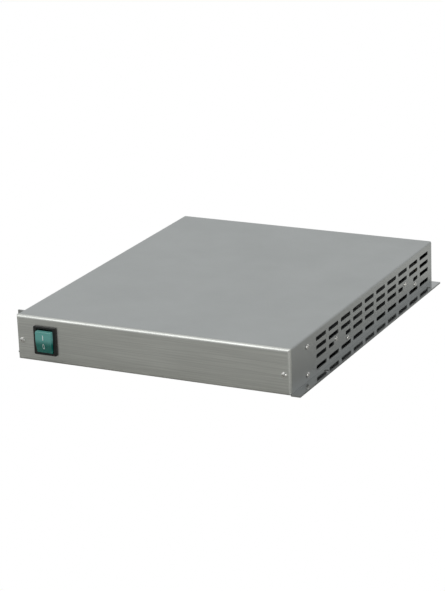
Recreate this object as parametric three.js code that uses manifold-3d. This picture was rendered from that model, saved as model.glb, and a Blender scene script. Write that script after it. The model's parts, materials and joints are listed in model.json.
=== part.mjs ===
// Compact uninterruptible power supply, one rack unit high, in a sheet-metal case that lies on its
// two base flanges: a flat tray, a U-shaped cover with slotted sides, a thick front panel with a
// rocker switch, and a rear panel with the fan, the inlet, the outlets and the breaker.
// Millimetres, +Z up, the front panel faces -Y. The origin is the centre of the tray's underside.
import * as THREE from "three";
import { mergeVertices } from "three/addons/utils/BufferGeometryUtils.js";
import Module from "manifold-3d";

const wasm = await Module();
wasm.setup();

// ---------------------------------------------------------------- driving dimensions

const bodyWidth = 283; // over the cover's side walls
const bodyDepth = 348; // front panel's face to the cover's rear edge
const bodyHeight = 44; // underside of the tray to the top of the cover
const gap = 0.2; // between pieces that touch
const fit = 0.3; // round a piece that goes through a hole or sits in a pocket

// Case
const traySheet = 1.5;
const flangeWidth = 9.5;
const flangeHoleRadius = 2.25;
const flangeHoleColumns = [0, 9]; // the holes lie under these columns of slots
const leftFlangeFromFront = 16;
const coverSheet = 1.2;
const coverBend = 1.8;
const panelThickness = 4;
const panelEdge = 3; // radius round the panel's front edges
const rearSheet = 1.5;
const rearRecess = 0.3; // rear panel's face behind the cover's rear edge

// Slots in the cover's sides
const slotLength = 22.5;
const slotHeight = 4;
const slotPitch = 28.6;
const slotColumns = 10;
const firstSlotFromFront = 68.9;
const slotRows = 3;
const slotRowPitch = 8.35;
const topRowFromTop = 9.1;
const lowRowHeight = 7.3;

// Fixing points of the cover: plain patches between shortened slots, with a screw in each and
// another beside it, both into a tab that stands on the tray
const patchAfterColumn = [2, 8];
const patchHeight = 16.4;
const patchSize = [27.6, 11]; // in y and z
const patchScrews = [[-8.7, 4.1], [18.3, -4.1]]; // from the patch's middle, in y and z
const tabBesideScrew = 4;
const tabHeight = 24;

// Corner brackets and screws
const bracketSheet = 1.5;
const bracketLeg = 13;
const bracketFromTop = 4;
const frontBracketLength = 48;
const rearBracketLength = 8;
const sideScrewFromFront = 37.5;
const sideScrewHeights = [7.4, 34.4];
const screwShank = 1.5; // radius
const screwHead = 2.8; // radius
const screwHeadHeight = 1.7;
const screwLength = 5;
const lowHead = 2.3; // radius
const lowHeadHeight = 1.1;
const panelScrewLength = 8;
const panelScrewFromEnd = 6;
const panelScrewHeight = 19.5;
const rearScrewFromEnd = 8;
const rearScrewFromEdge = 9.5;

// Lug on the left side wall
const lugReach = 7.2;
const lugSheet = 1.5;
const lugSpan = [5, 43]; // its ear's lowest and highest points
const lugFootSpan = [5, 36];
const lugFromFront = 16;
const lugFoot = 14;

// Rocker switch
const switchFromLeft = 31.5;
const switchHeight = 21.9;
const rockerPocketDepth = 8; // behind the pivot
const bezelLip = [1.1, 0.7]; // how far the bezel reaches past the body, in x and z
const bezelProud = 2;
const switchWall = [2.3, 1.4]; // walls round the rocker's pocket, in x and z
const switchBodyDepth = 22; // behind the panel's face
const rockerWidth = 16.8;
const rockerLength = 21.4;
const rockerProud = 4; // its ends, in the middle of its travel
const rockerCrown = 1.4; // how much further its middle stands out
const rockerPivotDepth = 3.5; // behind the panel's face
const rockerTilt = 6.5; // degrees each way from the middle
const rockerThickness = 3.8;
const rockerEndClearance = 1.1;
const rockerKeel = [1.5, 4]; // how far the paddle reaches behind its pins, and half its width there
const pinRadius = 1.2;
const pinReach = 1;
const lampRadius = 1.4;
const lampLength = 8;
const terminalWidth = 4.8;
const terminalThickness = 0.8;
const terminalLength = 8;
const terminalSpread = 7;

// Fan
const fanSize = 40;
const fanDepth = 20;
const fanWall = 1.2; // thinnest, beside the duct
const fanFromBracket = 1.5;
const fanHub = 9; // radius
const fanBladeTip = 1.5; // from a blade's tip to the duct, at the blade's middle
const fanBlades = 7;
const fanBladeTilt = 35;
const fanHoleFromEdge = 4;
const fanHoleRadius = 2.1;
const fanStrut = 2.5;
const fanShaft = 1.5; // radius
const guardWire = 0.9; // radius
const guardRings = 3;
const guardRingPitch = 5.5;
const guardScrewLength = 9;

// Rear sockets, breaker and earth stud
const inletFromLeft = 79.5;
const inletFlange = [36, 34];
const inletBody = [28, 31];
const inletDepth = 24;
const socketProud = 2.2;
const inletCavity = [23.8, 16.2];
const inletCavityDepth = 16;
const inletCavityChamfer = 4;
const inletPin = [2, 4];
const inletPinPitch = 7;
const inletPinOffset = 2;
const inletPinInset = 2.5;
const drawerSize = [24, 7];
const drawerDepth = 19;
const drawerLip = 1.2;
const drawerFloor = 0.9;
const fuseRadius = 2.5;
const fuseLength = 20;
const fuseFromFace = 12;
const outletFromLeft = 152;
const outletPitch = 36;
const outletCount = 3;
const outletFlange = [31, 25];
const outletBody = [27, 20.5];
const outletDepth = 20;
const outletFace = [21, 13.6];
const outletTrench = 1.7;
const outletTrenchDepth = 12;
const outletSlotDepth = 14;
const breakerFromLeft = 114;
const breakerNeck = 5.6; // radius
const breakerNutRadius = 8;
const breakerNutThickness = 3;
const breakerNeckProud = 5;
const breakerBody = [15, 24, 26]; // width, depth, height
const breakerButton = 3.2; // radius
const breakerButtonProud = 4.6; // beyond the neck
const breakerButtonLength = 9;
const studFromRight = 19;
const studHeight = 14;
const studRadius = 2.5;
const studProud = 11;
const studHeadRadius = 4.5;
const studHeadThickness = 3;
const studNutRadius = 4.6;
const studNutThickness = 4;

// Batteries
const batteryWidth = 94;
const batteryLength = 151;
const batteryHeight = 34;
const batteryFromRight = 6.5;
const batteryFromFront = 10;
const batteryGap = 4;
const batteryTab = [6.3, 0.8, 5]; // width, thickness, length
const batteryTabSpread = 36;
const batteryTabFromStrap = 1.5;
const strapSheet = 1.2;
const strapWidth = 26;
const strapFoot = 11;

// Circuit board and what stands on it
const boardThickness = 1.6;
const boardHeight = 8;
const boardFromSide = 9;
const boardFromBattery = 10;
const boardFromFront = 62;
const boardFromRear = 48;
const standoffRadius = 3.4;
const standoffInset = 8;
const coreSize = [64, 50, 20];
const coreLeg = 16;
const coreWindow = [12, 32];
const coilRise = 5;
const heatsinkSize = [34, 110, 27];
const heatsinkBase = 4;
const heatsinkFins = 6;
const heatsinkFin = 2;
const capacitorRadius = 11;
const capacitorHeight = 28;
const capacitorPitch = 27;
const relaySize = [13, 29, 16];
const chokeRadius = 12;
const chokeWire = 5;
const leadRadius = 1.3;
const leadSteps = 14;

// ---------------------------------------------------------------- places worked out from them

const front = -bodyDepth / 2;
const rear = bodyDepth / 2;
const left = -bodyWidth / 2;
const right = bodyWidth / 2;
const panelBack = front + panelThickness;
const coverInside = right - coverSheet;
const rearFace = rear - rearRecess;
const rearInside = rearFace - rearSheet;
const middleHeight = bodyHeight / 2;
const bracketOuter = coverInside - gap;
const bracketTop = bodyHeight - bracketFromTop;
const floor = traySheet + gap;
const switchX = left + switchFromLeft;
const pocketSize = [rockerWidth + 2 * fit, rockerLength + 2 * rockerEndClearance];
const switchBodySize = pocketSize.map((size, i) => size + 2 * switchWall[i]);
const bezelSize = switchBodySize.map((size, i) => size + 2 * bezelLip[i]);
const fanX = bracketLeg + fanFromBracket + fanSize / 2 - bracketOuter;
const fanBore = fanSize / 2 - fanWall; // radius
const fanHolePitch = fanSize - 2 * fanHoleFromEdge;
const inletX = left + inletFromLeft;
const breakerX = left + breakerFromLeft;
const studX = right - studFromRight;
const outletXs = Array.from({ length: outletCount }, (_, i) => left + outletFromLeft + i * outletPitch);
const slotY = (column) => front + firstSlotFromFront + column * slotPitch;
const patchYs = patchAfterColumn.map((n) => slotY(n - 0.5));
const batteryRight = right - batteryFromRight;
const batteryLeft = batteryRight - batteryWidth;
const batteryFronts = [0, 1].map((i) => front + batteryFromFront + i * (batteryLength + batteryGap));
const batteryTop = floor + batteryHeight;
const batteryTabFromEnd = (strapWidth - batteryGap + batteryTab[0]) / 2 + batteryTabFromStrap;
const boardLeft = left + boardFromSide;
const boardRight = batteryLeft - boardFromBattery;
const boardFront = front + boardFromFront;
const boardRear = rear - boardFromRear;
const boardTop = boardHeight + boardThickness;
const onBoard = boardTop + gap;

// ---------------------------------------------------------------- shapes

// A closed box from its lowest and highest corner.
function box(x0, y0, z0, x1, y1, z1) {
  const shape = new THREE.BoxGeometry(x1 - x0, y1 - y0, z1 - z0);
  return shape.translate((x0 + x1) / 2, (y0 + y1) / 2, (z0 + z1) / 2);
}

// A box given by its middle in x and z, its two sizes across, and its span in y.
function block(x, z, [width, height], y0, y1) {
  return box(x - width / 2, y0, z - height / 2, x + width / 2, y1, z + height / 2);
}

function rodAlongX(y, z, radius, x0, x1, sides = 16) {
  const rod = new THREE.CylinderGeometry(radius, radius, x1 - x0, sides).rotateZ(-Math.PI / 2);
  return rod.translate((x0 + x1) / 2, y, z);
}

function rodAlongY(x, z, radius, y0, y1, sides = 16) {
  const rod = new THREE.CylinderGeometry(radius, radius, y1 - y0, sides);
  return rod.translate(x, (y0 + y1) / 2, z);
}

function rodAlongZ(x, y, radius, z0, z1, sides = 16) {
  const rod = new THREE.CylinderGeometry(radius, radius, z1 - z0, sides).rotateX(Math.PI / 2);
  return rod.translate(x, y, (z0 + z1) / 2);
}

// Outline in x and z, pushed along +Y from y0 to y1.
function extrudeAlongY(shape, y0, y1, curveSegments = 4) {
  const options = { depth: y1 - y0, bevelEnabled: false, curveSegments };
  return new THREE.ExtrudeGeometry(shape, options).rotateX(Math.PI / 2).translate(0, y1, 0);
}

// Outline in y and z, pushed along +X from x0 to x1.
function extrudeAlongX(shape, x0, x1, curveSegments = 4) {
  const options = { depth: x1 - x0, bevelEnabled: false, curveSegments };
  const made = new THREE.ExtrudeGeometry(shape, options);
  return made.rotateX(Math.PI / 2).rotateZ(Math.PI / 2).translate(x0, 0, 0);
}

// ---------------------------------------------------------------- joining and cutting

function solidOf(geometry) {
  const plain = geometry.index ? geometry.toNonIndexed() : geometry.clone();
  plain.deleteAttribute("normal");
  plain.deleteAttribute("uv");
  const merged = mergeVertices(plain, 1e-4);
  return new wasm.Manifold(
    new wasm.Mesh({
      numProp: 3,
      vertProperties: new Float32Array(merged.attributes.position.array),
      triVerts: new Uint32Array(merged.index.array),
    }),
  );
}

function geometryOf(solid) {
  const mesh = solid.getMesh();
  const made = new THREE.BufferGeometry();
  made.setAttribute("position", new THREE.BufferAttribute(mesh.vertProperties, 3));
  made.setIndex(new THREE.BufferAttribute(mesh.triVerts, 1));
  return made;
}

function join(...shapes) {
  const solid = shapes.map(solidOf).reduce((all, next) => all.add(next));
  return geometryOf(solid);
}

function cut(body, ...tools) {
  const solid = tools.map(solidOf).reduce((rest, tool) => rest.subtract(tool), solidOf(body));
  return geometryOf(solid);
}

function common(a, b) {
  return geometryOf(solidOf(a).intersect(solidOf(b)));
}

// ---------------------------------------------------------------- materials

const finishes = {
  coverSteel: { color: 0x9ea1a0, roughness: 0.42, metalness: 0.9 },
  panelAluminium: { color: 0x87887f, roughness: 0.4, metalness: 0.9 },
  trayZinc: { color: 0x8f9190, roughness: 0.25, metalness: 1 },
  nickel: { color: 0xd0d0cc, roughness: 0.25, metalness: 1 },
  brass: { color: 0xb59a55, roughness: 0.35, metalness: 1 },
  copper: { color: 0xa8643a, roughness: 0.4, metalness: 1 },
  blackPlastic: { color: 0x111211, roughness: 0.5, metalness: 0 },
  greenLens: { color: 0x0d7a6c, roughness: 0.2, metalness: 0 },
  amberGlass: { color: 0xd98c4a, roughness: 0.1, metalness: 0 },
  batteryCase: { color: 0x2b2d30, roughness: 0.6, metalness: 0 },
  boardGreen: { color: 0x1f5a36, roughness: 0.5, metalness: 0 },
  ferrite: { color: 0x2d2c2b, roughness: 0.7, metalness: 0 },
  heatsinkAluminium: { color: 0xb9bbbc, roughness: 0.45, metalness: 1 },
  capacitorSleeve: { color: 0x1d2330, roughness: 0.4, metalness: 0 },
  relayBlue: { color: 0x2a5f9e, roughness: 0.4, metalness: 0 },
  redLead: { color: 0xa51d1a, roughness: 0.5, metalness: 0 },
  blackLead: { color: 0x161616, roughness: 0.5, metalness: 0 },
};

const materials = {};
for (const [name, values] of Object.entries(finishes)) {
  materials[name] = new THREE.MeshStandardMaterial(values);
}

const assembly = new THREE.Group();

function add(name, material, geometry) {
  const mesh = new THREE.Mesh(geometry, materials[material]);
  mesh.name = name;
  assembly.add(mesh);
  return mesh;
}

// ---------------------------------------------------------------- case

function flangeHolePlaces() {
  const x = right + flangeWidth / 2;
  return flangeHoleColumns.flatMap((column) => [[x, slotY(column)], [-x, slotY(column)]]);
}

// The places in y and z of the screws at the plain patches of each side.
function patchScrewPlaces() {
  return patchYs.flatMap((y) => patchScrews.map(([dy, dz]) => [y + dy, patchHeight + dz]));
}

function standoffPlaces() {
  const xs = [boardLeft + standoffInset, boardRight - standoffInset];
  const ys = [boardFront + standoffInset, boardRear - standoffInset];
  return xs.flatMap((x) => ys.map((y) => [x, y]));
}

// Flat tray whose sides run out past the cover as flanges, with a notch for the front panel.
// On it stand the pressed-in standoffs of the circuit board and, behind each plain patch of the
// cover, a tab that takes the two screws there and has the cover's slots cut through it too.
function makeTray() {
  const outer = right + flangeWidth;
  const plate = box(-outer, front, 0, outer, rear, traySheet);
  const notch = box(left - gap, front - 1, -1, right + gap, panelBack + gap, traySheet + 1);
  const corner = box(-outer - 1, front - 1, -1, left - gap, front + leftFlangeFromFront, traySheet + 1);
  const tabFace = coverInside - gap;
  const along = patchScrews.map(([dy]) => dy);
  const [first, last] = [Math.min(...along) - tabBesideScrew, Math.max(...along) + tabBesideScrew];
  const tabs = patchYs.flatMap((y) =>
    [-1, 1].map((side) => {
      const [x0, x1] = [side * tabFace, side * (tabFace - traySheet)].sort((a, b) => a - b);
      return box(x0, y + first, 0, x1, y + last, tabHeight);
    }),
  );
  const posts = standoffPlaces().map(([x, y]) =>
    rodAlongZ(x, y, standoffRadius, traySheet / 2, boardHeight - gap, 6),
  );
  const holes = [
    ...flangeHolePlaces().map(([x, y]) => rodAlongZ(x, y, flangeHoleRadius, -1, traySheet + 1)),
    ...patchScrewPlaces().map(([y, z]) => rodAlongX(y, z, screwShank + fit, -right, right)),
  ];
  return cut(join(plate, ...tabs, ...posts), notch, corner, ...slotCutters(), ...holes);
}

function coverOutline() {
  const inner = coverBend - coverSheet;
  const low = traySheet + gap;
  const shape = new THREE.Shape();
  shape.moveTo(left, low);
  shape.lineTo(left, bodyHeight - coverBend);
  shape.absarc(left + coverBend, bodyHeight - coverBend, coverBend, Math.PI, Math.PI / 2, true);
  shape.lineTo(right - coverBend, bodyHeight);
  shape.absarc(right - coverBend, bodyHeight - coverBend, coverBend, Math.PI / 2, 0, true);
  shape.lineTo(right, low);
  shape.lineTo(coverInside, low);
  shape.lineTo(coverInside, bodyHeight - coverBend);
  shape.absarc(right - coverBend, bodyHeight - coverBend, inner, 0, Math.PI / 2, false);
  shape.lineTo(left + coverBend, bodyHeight - coverSheet);
  shape.absarc(left + coverBend, bodyHeight - coverBend, inner, Math.PI / 2, Math.PI, false);
  shape.lineTo(-coverInside, low);
  return shape;
}

// One slot through both side walls.
function slotCutter(y, z) {
  const [halfLength, halfHeight] = [slotLength / 2, slotHeight / 2];
  return box(left - 1, y - halfLength, z - halfHeight, right + 1, y + halfLength, z + halfHeight);
}

// The block through both side walls that keeps a patch plain.
function patchBlock(y) {
  const [halfLength, halfHeight] = patchSize.map((size) => size / 2);
  const [low, high] = [patchHeight - halfHeight, patchHeight + halfHeight];
  return box(left - 2, y - halfLength, low, right + 2, y + halfLength, high);
}

function slotCutters() {
  const cutters = [];
  for (let column = 0; column < slotColumns; column++) {
    const y = slotY(column);
    cutters.push(slotCutter(y, lowRowHeight));
    for (let row = 0; row < slotRows; row++) {
      const z = bodyHeight - topRowFromTop - row * slotRowPitch;
      const patches = patchYs
        .filter((middle) => Math.abs(middle - y) < (patchSize[0] + slotLength) / 2)
        .map(patchBlock);
      cutters.push(patches.length ? cut(slotCutter(y, z), ...patches) : slotCutter(y, z));
    }
  }
  return cutters;
}

// U-shaped cover, open below, with the screw holes through both sides.
function makeCover() {
  const shell = extrudeAlongY(coverOutline(), panelBack + gap, rear, 3);
  const places = sideScrewHeights.map((z) => [front + sideScrewFromFront, z]);
  const holes = [...places, ...patchScrewPlaces()].map(([y, z]) =>
    rodAlongX(y, z, screwShank + fit, left - 1, right + 1, 12),
  );
  return cut(shell, ...slotCutters(), ...holes);
}

// Thick plate whose four front edges are rounded: what two rounded bars, one lying and one
// standing, have in common.
function makeFrontPanel() {
  const roundedBar = (from, to) => {
    const shape = new THREE.Shape();
    shape.moveTo(panelBack, from);
    shape.lineTo(panelBack, to);
    shape.lineTo(front + panelEdge, to);
    shape.absarc(front + panelEdge, to - panelEdge, panelEdge, Math.PI / 2, Math.PI, false);
    shape.absarc(front + panelEdge, from + panelEdge, panelEdge, Math.PI, (3 * Math.PI) / 2, false);
    return shape;
  };
  const lying = extrudeAlongX(roundedBar(0, bodyHeight), left, right, 5);
  const standing = extrudeAlongX(roundedBar(left, right), -bodyHeight, 0, 5).rotateY(Math.PI / 2);
  const opening = switchBodySize.map((size) => size + 2 * fit);
  const holes = [left + panelScrewFromEnd, right - panelScrewFromEnd].map((x) =>
    rodAlongY(x, panelScrewHeight, screwShank + fit, front - 1, panelBack + 1, 12),
  );
  const window = block(switchX, switchHeight, opening, front - 1, panelBack + 1);
  return cut(common(lying, standing), window, ...holes);
}

// Angle bracket in a front or rear corner: a leg along the side wall, a leg behind the panel.
function makeBracket(side, end, length) {
  const atFront = end < 0;
  const panelSide = atFront ? panelBack + gap : rearInside - gap;
  const inward = atFront ? 1 : -1;
  const along = [panelSide, panelSide + inward * length].sort((a, b) => a - b);
  const behind = [panelSide, panelSide + inward * bracketSheet].sort((a, b) => a - b);
  const xs = [side * bracketOuter, side * (bracketOuter - bracketSheet)].sort((a, b) => a - b);
  const legXs = [side * bracketOuter, side * (bracketOuter - bracketLeg)].sort((a, b) => a - b);
  const wall = box(xs[0], along[0], floor, xs[1], along[1], bracketTop);
  const leg = box(legXs[0], behind[0], floor, legXs[1], behind[1], bracketTop);
  const fromEnd = atFront ? panelScrewFromEnd : rearScrewFromEnd;
  const heights = atFront ? [panelScrewHeight] : rearScrewHeights();
  const holes = heights.map((z) =>
    rodAlongY(side * (right - fromEnd), z, screwShank + gap, behind[0] - 1, behind[1] + 1, 12),
  );
  if (atFront) {
    for (const z of sideScrewHeights) {
      holes.push(rodAlongX(front + sideScrewFromFront, z, screwShank + gap, xs[0] - 1, xs[1] + 1, 12));
    }
  }
  return cut(join(wall, leg), ...holes);
}

function rearScrewHeights() {
  return [rearScrewFromEdge, bodyHeight - rearScrewFromEdge];
}

function makeRearPanel() {
  const half = coverInside - gap;
  const plate = box(-half, rearInside, floor, half, rearFace, bodyHeight - coverSheet - gap);
  const [y0, y1] = [rearInside - 1, rearFace + 1];
  const grown = ([width, height]) => [width + 2 * fit, height + 2 * fit];
  const holes = [
    rodAlongY(fanX, middleHeight, fanBore, y0, y1, 32),
    block(inletX, middleHeight, grown(inletBody), y0, y1),
    rodAlongY(breakerX, middleHeight, breakerNeck + fit, y0, y1),
    rodAlongY(studX, studHeight, studRadius + fit, y0, y1),
    ...fanCorners().map(([x, z]) => rodAlongY(x, z, screwShank + fit, y0, y1, 12)),
    ...outletXs.map((x) => block(x, middleHeight, grown(outletBody), y0, y1)),
  ];
  for (const side of [-1, 1]) {
    for (const z of rearScrewHeights()) {
      holes.push(rodAlongY(side * (right - rearScrewFromEnd), z, screwShank + fit, y0, y1, 12));
    }
  }
  return cut(plate, ...holes);
}

// Angle lug on the outside of the left wall: one leg lies on the wall, the other stands out.
function makeLug() {
  const wall = left - gap;
  const y = front + lugFromFront;
  const foot = box(wall - lugSheet, y, lugFootSpan[0], wall, y + lugFoot, lugFootSpan[1]);
  const ear = box(left - lugReach, y, lugSpan[0], wall, y + lugSheet, lugSpan[1]);
  return join(foot, ear);
}

add("base_tray", "trayZinc", makeTray());
add("top_cover", "coverSteel", makeCover());
add("front_panel", "panelAluminium", makeFrontPanel());
add("rear_panel", "coverSteel", makeRearPanel());
for (const [name, side] of [["left", -1], ["right", 1]]) {
  add("front_bracket_" + name, "trayZinc", makeBracket(side, -1, frontBracketLength));
  add("rear_bracket_" + name, "trayZinc", makeBracket(side, 1, rearBracketLength));
}
add("side_lug", "coverSteel", makeLug());

// ---------------------------------------------------------------- screws

// Button-head screw that points along -Z, its head's underside at z = 0.
function makeScrew(length, head = screwHead, headHeight = screwHeadHeight) {
  const profile = [
    [0, -length],
    [screwShank, -length],
    [screwShank, 0],
    [head, 0],
    [head, headHeight * 0.35],
    [head * 0.6, headHeight],
    [0, headHeight],
  ];
  const lathe = new THREE.LatheGeometry(profile.map(([r, h]) => new THREE.Vector2(r, h)), 12);
  return lathe.rotateX(Math.PI / 2);
}

function addScrew(name, shape, [x, y, z], [turnX, turnY]) {
  const screw = add(name, "nickel", shape);
  screw.position.set(x, y, z);
  screw.rotation.set(turnX, turnY, 0);
  return screw;
}

const headGap = 0.05; // under a screw's head
const turned = {
  front: [Math.PI / 2, 0],
  rear: [-Math.PI / 2, 0],
  left: [0, -Math.PI / 2],
  right: [0, Math.PI / 2],
};
for (const [name, side] of [["left", -1], ["right", 1]]) {
  const x = side * (right - panelScrewFromEnd);
  const panelPlace = [x, front - headGap, panelScrewHeight];
  addScrew("panel_screw_" + name, makeScrew(panelScrewLength), panelPlace, turned.front);
  const sideX = side * (right + headGap);
  sideScrewHeights.forEach((z, i) => {
    const place = [sideX, front + sideScrewFromFront, z];
    addScrew("cover_screw_" + name + ["_low", "_high"][i], makeScrew(screwLength), place, turned[name]);
  });
  patchScrewPlaces().forEach(([y, z], i) => {
    const shape = makeScrew(screwLength, lowHead, lowHeadHeight);
    addScrew("tab_screw_" + name + "_" + (i + 1), shape, [sideX, y, z], turned[name]);
  });
  rearScrewHeights().forEach((z, i) => {
    const place = [side * (right - rearScrewFromEnd), rearFace + headGap, z];
    addScrew("rear_screw_" + name + ["_low", "_high"][i], makeScrew(screwLength), place, turned.rear);
  });
}

// ---------------------------------------------------------------- rocker switch

const pivotY = front + rockerPivotDepth;
const switchBack = front + switchBodyDepth;
const pocketBack = pivotY + rockerPocketDepth;

// Bezel and body in one, with the rocker's pocket and the pivot holes in its side walls.
function makeSwitchHousing() {
  const bezel = block(switchX, switchHeight, bezelSize, front - bezelProud, front - gap);
  const body = block(switchX, switchHeight, switchBodySize, front - gap - 0.1, switchBack);
  const pocket = block(switchX, switchHeight, pocketSize, front - bezelProud - 1, pocketBack);
  const reach = pocketSize[0] / 2 + pinReach;
  const pivot = rodAlongX(pivotY, switchHeight, pinRadius + 0.15, switchX - reach, switchX + reach);
  return cut(join(bezel, body), pocket, pivot);
}

// Crowned paddle with pivot pins, in the middle of its travel, with its pivot at the origin.
function makeRocker() {
  const half = rockerLength / 2;
  const face = -(rockerPivotDepth + rockerProud);
  const shape = new THREE.Shape();
  shape.moveTo(face, -half);
  shape.quadraticCurveTo(face - 2 * rockerCrown, 0, face, half);
  shape.lineTo(face + rockerThickness, half);
  shape.lineTo(pinRadius + rockerKeel[0], rockerKeel[1]);
  shape.lineTo(pinRadius + rockerKeel[0], -rockerKeel[1]);
  shape.lineTo(face + rockerThickness, -half);
  const paddle = extrudeAlongX(shape, -rockerWidth / 2, rockerWidth / 2, 8);
  const reach = rockerWidth / 2 + pinReach;
  return join(paddle, rodAlongX(0, 0, pinRadius, -reach, reach));
}

function makeTerminal(z) {
  return block(switchX, z, [terminalWidth, terminalThickness], switchBack + gap, switchBack + terminalLength);
}

add("switch_housing", "blackPlastic", makeSwitchHousing());
const rocker = add("switch_rocker", "greenLens", makeRocker());
rocker.position.set(switchX, pivotY, switchHeight);
rocker.rotation.x = THREE.MathUtils.degToRad(rockerTilt);
const lampSpan = [switchX - lampLength / 2, switchX + lampLength / 2];
const lampY = pocketBack - gap - lampRadius;
add("switch_lamp", "amberGlass", rodAlongX(lampY, switchHeight, lampRadius, ...lampSpan, 12));
add("switch_terminal_upper", "brass", makeTerminal(switchHeight + terminalSpread));
add("switch_terminal_lower", "brass", makeTerminal(switchHeight - terminalSpread));

// ---------------------------------------------------------------- fan

const fanBack = rearInside - gap;
const fanFront = fanBack - fanDepth;
const motorPlate = 3;

function fanCorners() {
  const corner = fanHolePitch / 2;
  const turns = [-corner, corner];
  return turns.flatMap((dx) => turns.map((dz) => [fanX + dx, middleHeight + dz]));
}

// Square frame with a round duct; the motor plate on struts is at its front, inside the case.
function makeFanFrame() {
  const frame = block(fanX, middleHeight, [fanSize, fanSize], fanFront, fanBack);
  const duct = rodAlongY(fanX, middleHeight, fanBore, fanFront - 1, fanBack + 1, 32);
  const plate = rodAlongY(fanX, middleHeight, fanHub, fanFront, fanFront + motorPlate, 20);
  const struts = [[2 * fanBore, fanStrut], [fanStrut, 2 * fanBore]].map((size) =>
    block(fanX, middleHeight, size, fanFront, fanFront + fanStrut),
  );
  const bearing = rodAlongY(fanX, middleHeight, fanShaft + 0.1, fanFront - 1, fanFront + motorPlate + 1);
  const holes = fanCorners().map(([x, z]) => rodAlongY(x, z, fanHoleRadius, fanFront - 1, fanBack + 1, 8));
  return cut(join(cut(frame, duct), plate, ...struts), bearing, ...holes);
}

// Hub, shaft and blades, round the Y axis through the origin; y = 0 is the duct's rear end.
function makeFanRotor() {
  const hubFront = -fanDepth + motorPlate + 1;
  const hub = rodAlongY(0, 0, fanHub, hubFront, -1.5, 20);
  const shaft = rodAlongY(0, 0, fanShaft, -fanDepth + 0.5, hubFront + 1);
  const bladeLength = -1.5 - hubFront - 1;
  const blades = [];
  for (let i = 0; i < fanBlades; i++) {
    const blade = box(-0.7, -bladeLength / 2, fanHub - 1, 0.7, bladeLength / 2, fanBore - fanBladeTip);
    blade.rotateZ(THREE.MathUtils.degToRad(fanBladeTilt)).translate(0, (hubFront - 1.5) / 2, 0);
    blades.push(blade.rotateY((2 * Math.PI * i) / fanBlades));
  }
  return join(hub, shaft, ...blades);
}

// Wire finger guard on the rear panel: rings on a cross whose ends are held by the fan's screws.
function makeGuard() {
  const y = rearFace + gap + guardWire;
  const rings = [];
  for (let i = 0; i < guardRings; i++) {
    const radius = fanBore - guardWire - i * guardRingPitch;
    const ring = new THREE.TorusGeometry(radius, guardWire, 5, 20).rotateX(Math.PI / 2);
    rings.push(ring.translate(fanX, y, middleHeight));
  }
  const reach = (fanHolePitch / 2) * Math.SQRT2 + 1;
  const bars = [1, -1].map((turn) => {
    const bar = box(-reach, -guardWire, -guardWire, reach, guardWire, guardWire);
    return bar.rotateY((turn * Math.PI) / 4).translate(fanX, y, middleHeight);
  });
  const screws = fanCorners().map(([x, z]) =>
    makeScrew(guardScrewLength).rotateX(-Math.PI / 2).translate(x, y + guardWire - 0.1, z),
  );
  return join(...rings, ...bars, ...screws);
}

add("fan_frame", "blackPlastic", makeFanFrame());
add("fan_rotor", "blackPlastic", makeFanRotor()).position.set(fanX, fanBack, middleHeight);
add("fan_guard", "nickel", makeGuard());

// ---------------------------------------------------------------- inlet, outlets, breaker, earth

const socketFace = rearFace + gap + socketProud;
const drawerZ = middleHeight + inletBody[1] / 2 - drawerSize[1] / 2 - 2;
const cavityZ = middleHeight - inletBody[1] / 2 + inletCavity[1] / 2 + 2.5;

// Cavity of a plug inlet: a rectangle with its two lower corners cut off.
function cavityOutline(x, z, [width, height], chamfer) {
  const [halfWidth, halfHeight] = [width / 2, height / 2];
  const shape = new THREE.Shape();
  shape.moveTo(x - halfWidth, z + halfHeight);
  shape.lineTo(x - halfWidth, z - halfHeight + chamfer);
  shape.lineTo(x - halfWidth + chamfer, z - halfHeight);
  shape.lineTo(x + halfWidth - chamfer, z - halfHeight);
  shape.lineTo(x + halfWidth, z - halfHeight + chamfer);
  shape.lineTo(x + halfWidth, z + halfHeight);
  return shape;
}

// Inlet with a flange outside the panel, a plug cavity with three pins, and a fuse pocket above.
function makeInlet() {
  const flange = block(inletX, middleHeight, inletFlange, rearFace + gap, socketFace);
  const body = block(inletX, middleHeight, inletBody, socketFace - inletDepth, rearFace + gap + 0.1);
  const outline = cavityOutline(inletX, cavityZ, inletCavity, inletCavityChamfer);
  const cavity = extrudeAlongY(outline, socketFace - inletCavityDepth, socketFace + 1);
  const pocketSize = [drawerSize[0] + 2 * fit, drawerSize[1] + 2 * fit];
  const pocket = block(inletX, drawerZ, pocketSize, socketFace - drawerDepth - fit, socketFace + 1);
  const pins = [[-inletPinPitch, -1], [0, 1], [inletPinPitch, -1]].map(([dx, up]) =>
    block(
      inletX + dx,
      cavityZ + up * inletPinOffset,
      inletPin,
      socketFace - inletCavityDepth - 1,
      socketFace - inletPinInset,
    ),
  );
  return join(cut(join(flange, body), cavity, pocket), ...pins);
}

const fuseY = socketFace - fuseFromFace;
const fuseZ = drawerZ - drawerSize[1] / 2 + drawerFloor + gap + fuseRadius;

// Drawer with a finger lip on its face and an open nest for the fuse in its top.
function makeFuseDrawer() {
  const tray = block(inletX, drawerZ, drawerSize, socketFace - drawerDepth, socketFace);
  const lipSize = [drawerSize[0] * 0.6, drawerSize[1] - 2];
  const lip = block(inletX, drawerZ, lipSize, socketFace - 1, socketFace + drawerLip);
  const half = [fuseLength / 2 + fit, fuseRadius + fit];
  const nestBottom = fuseZ - fuseRadius - gap;
  const nest = box(
    inletX - half[0],
    fuseY - half[1],
    nestBottom,
    inletX + half[0],
    fuseY + half[1],
    drawerZ + drawerSize[1],
  );
  return cut(join(tray, lip), nest);
}

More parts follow.
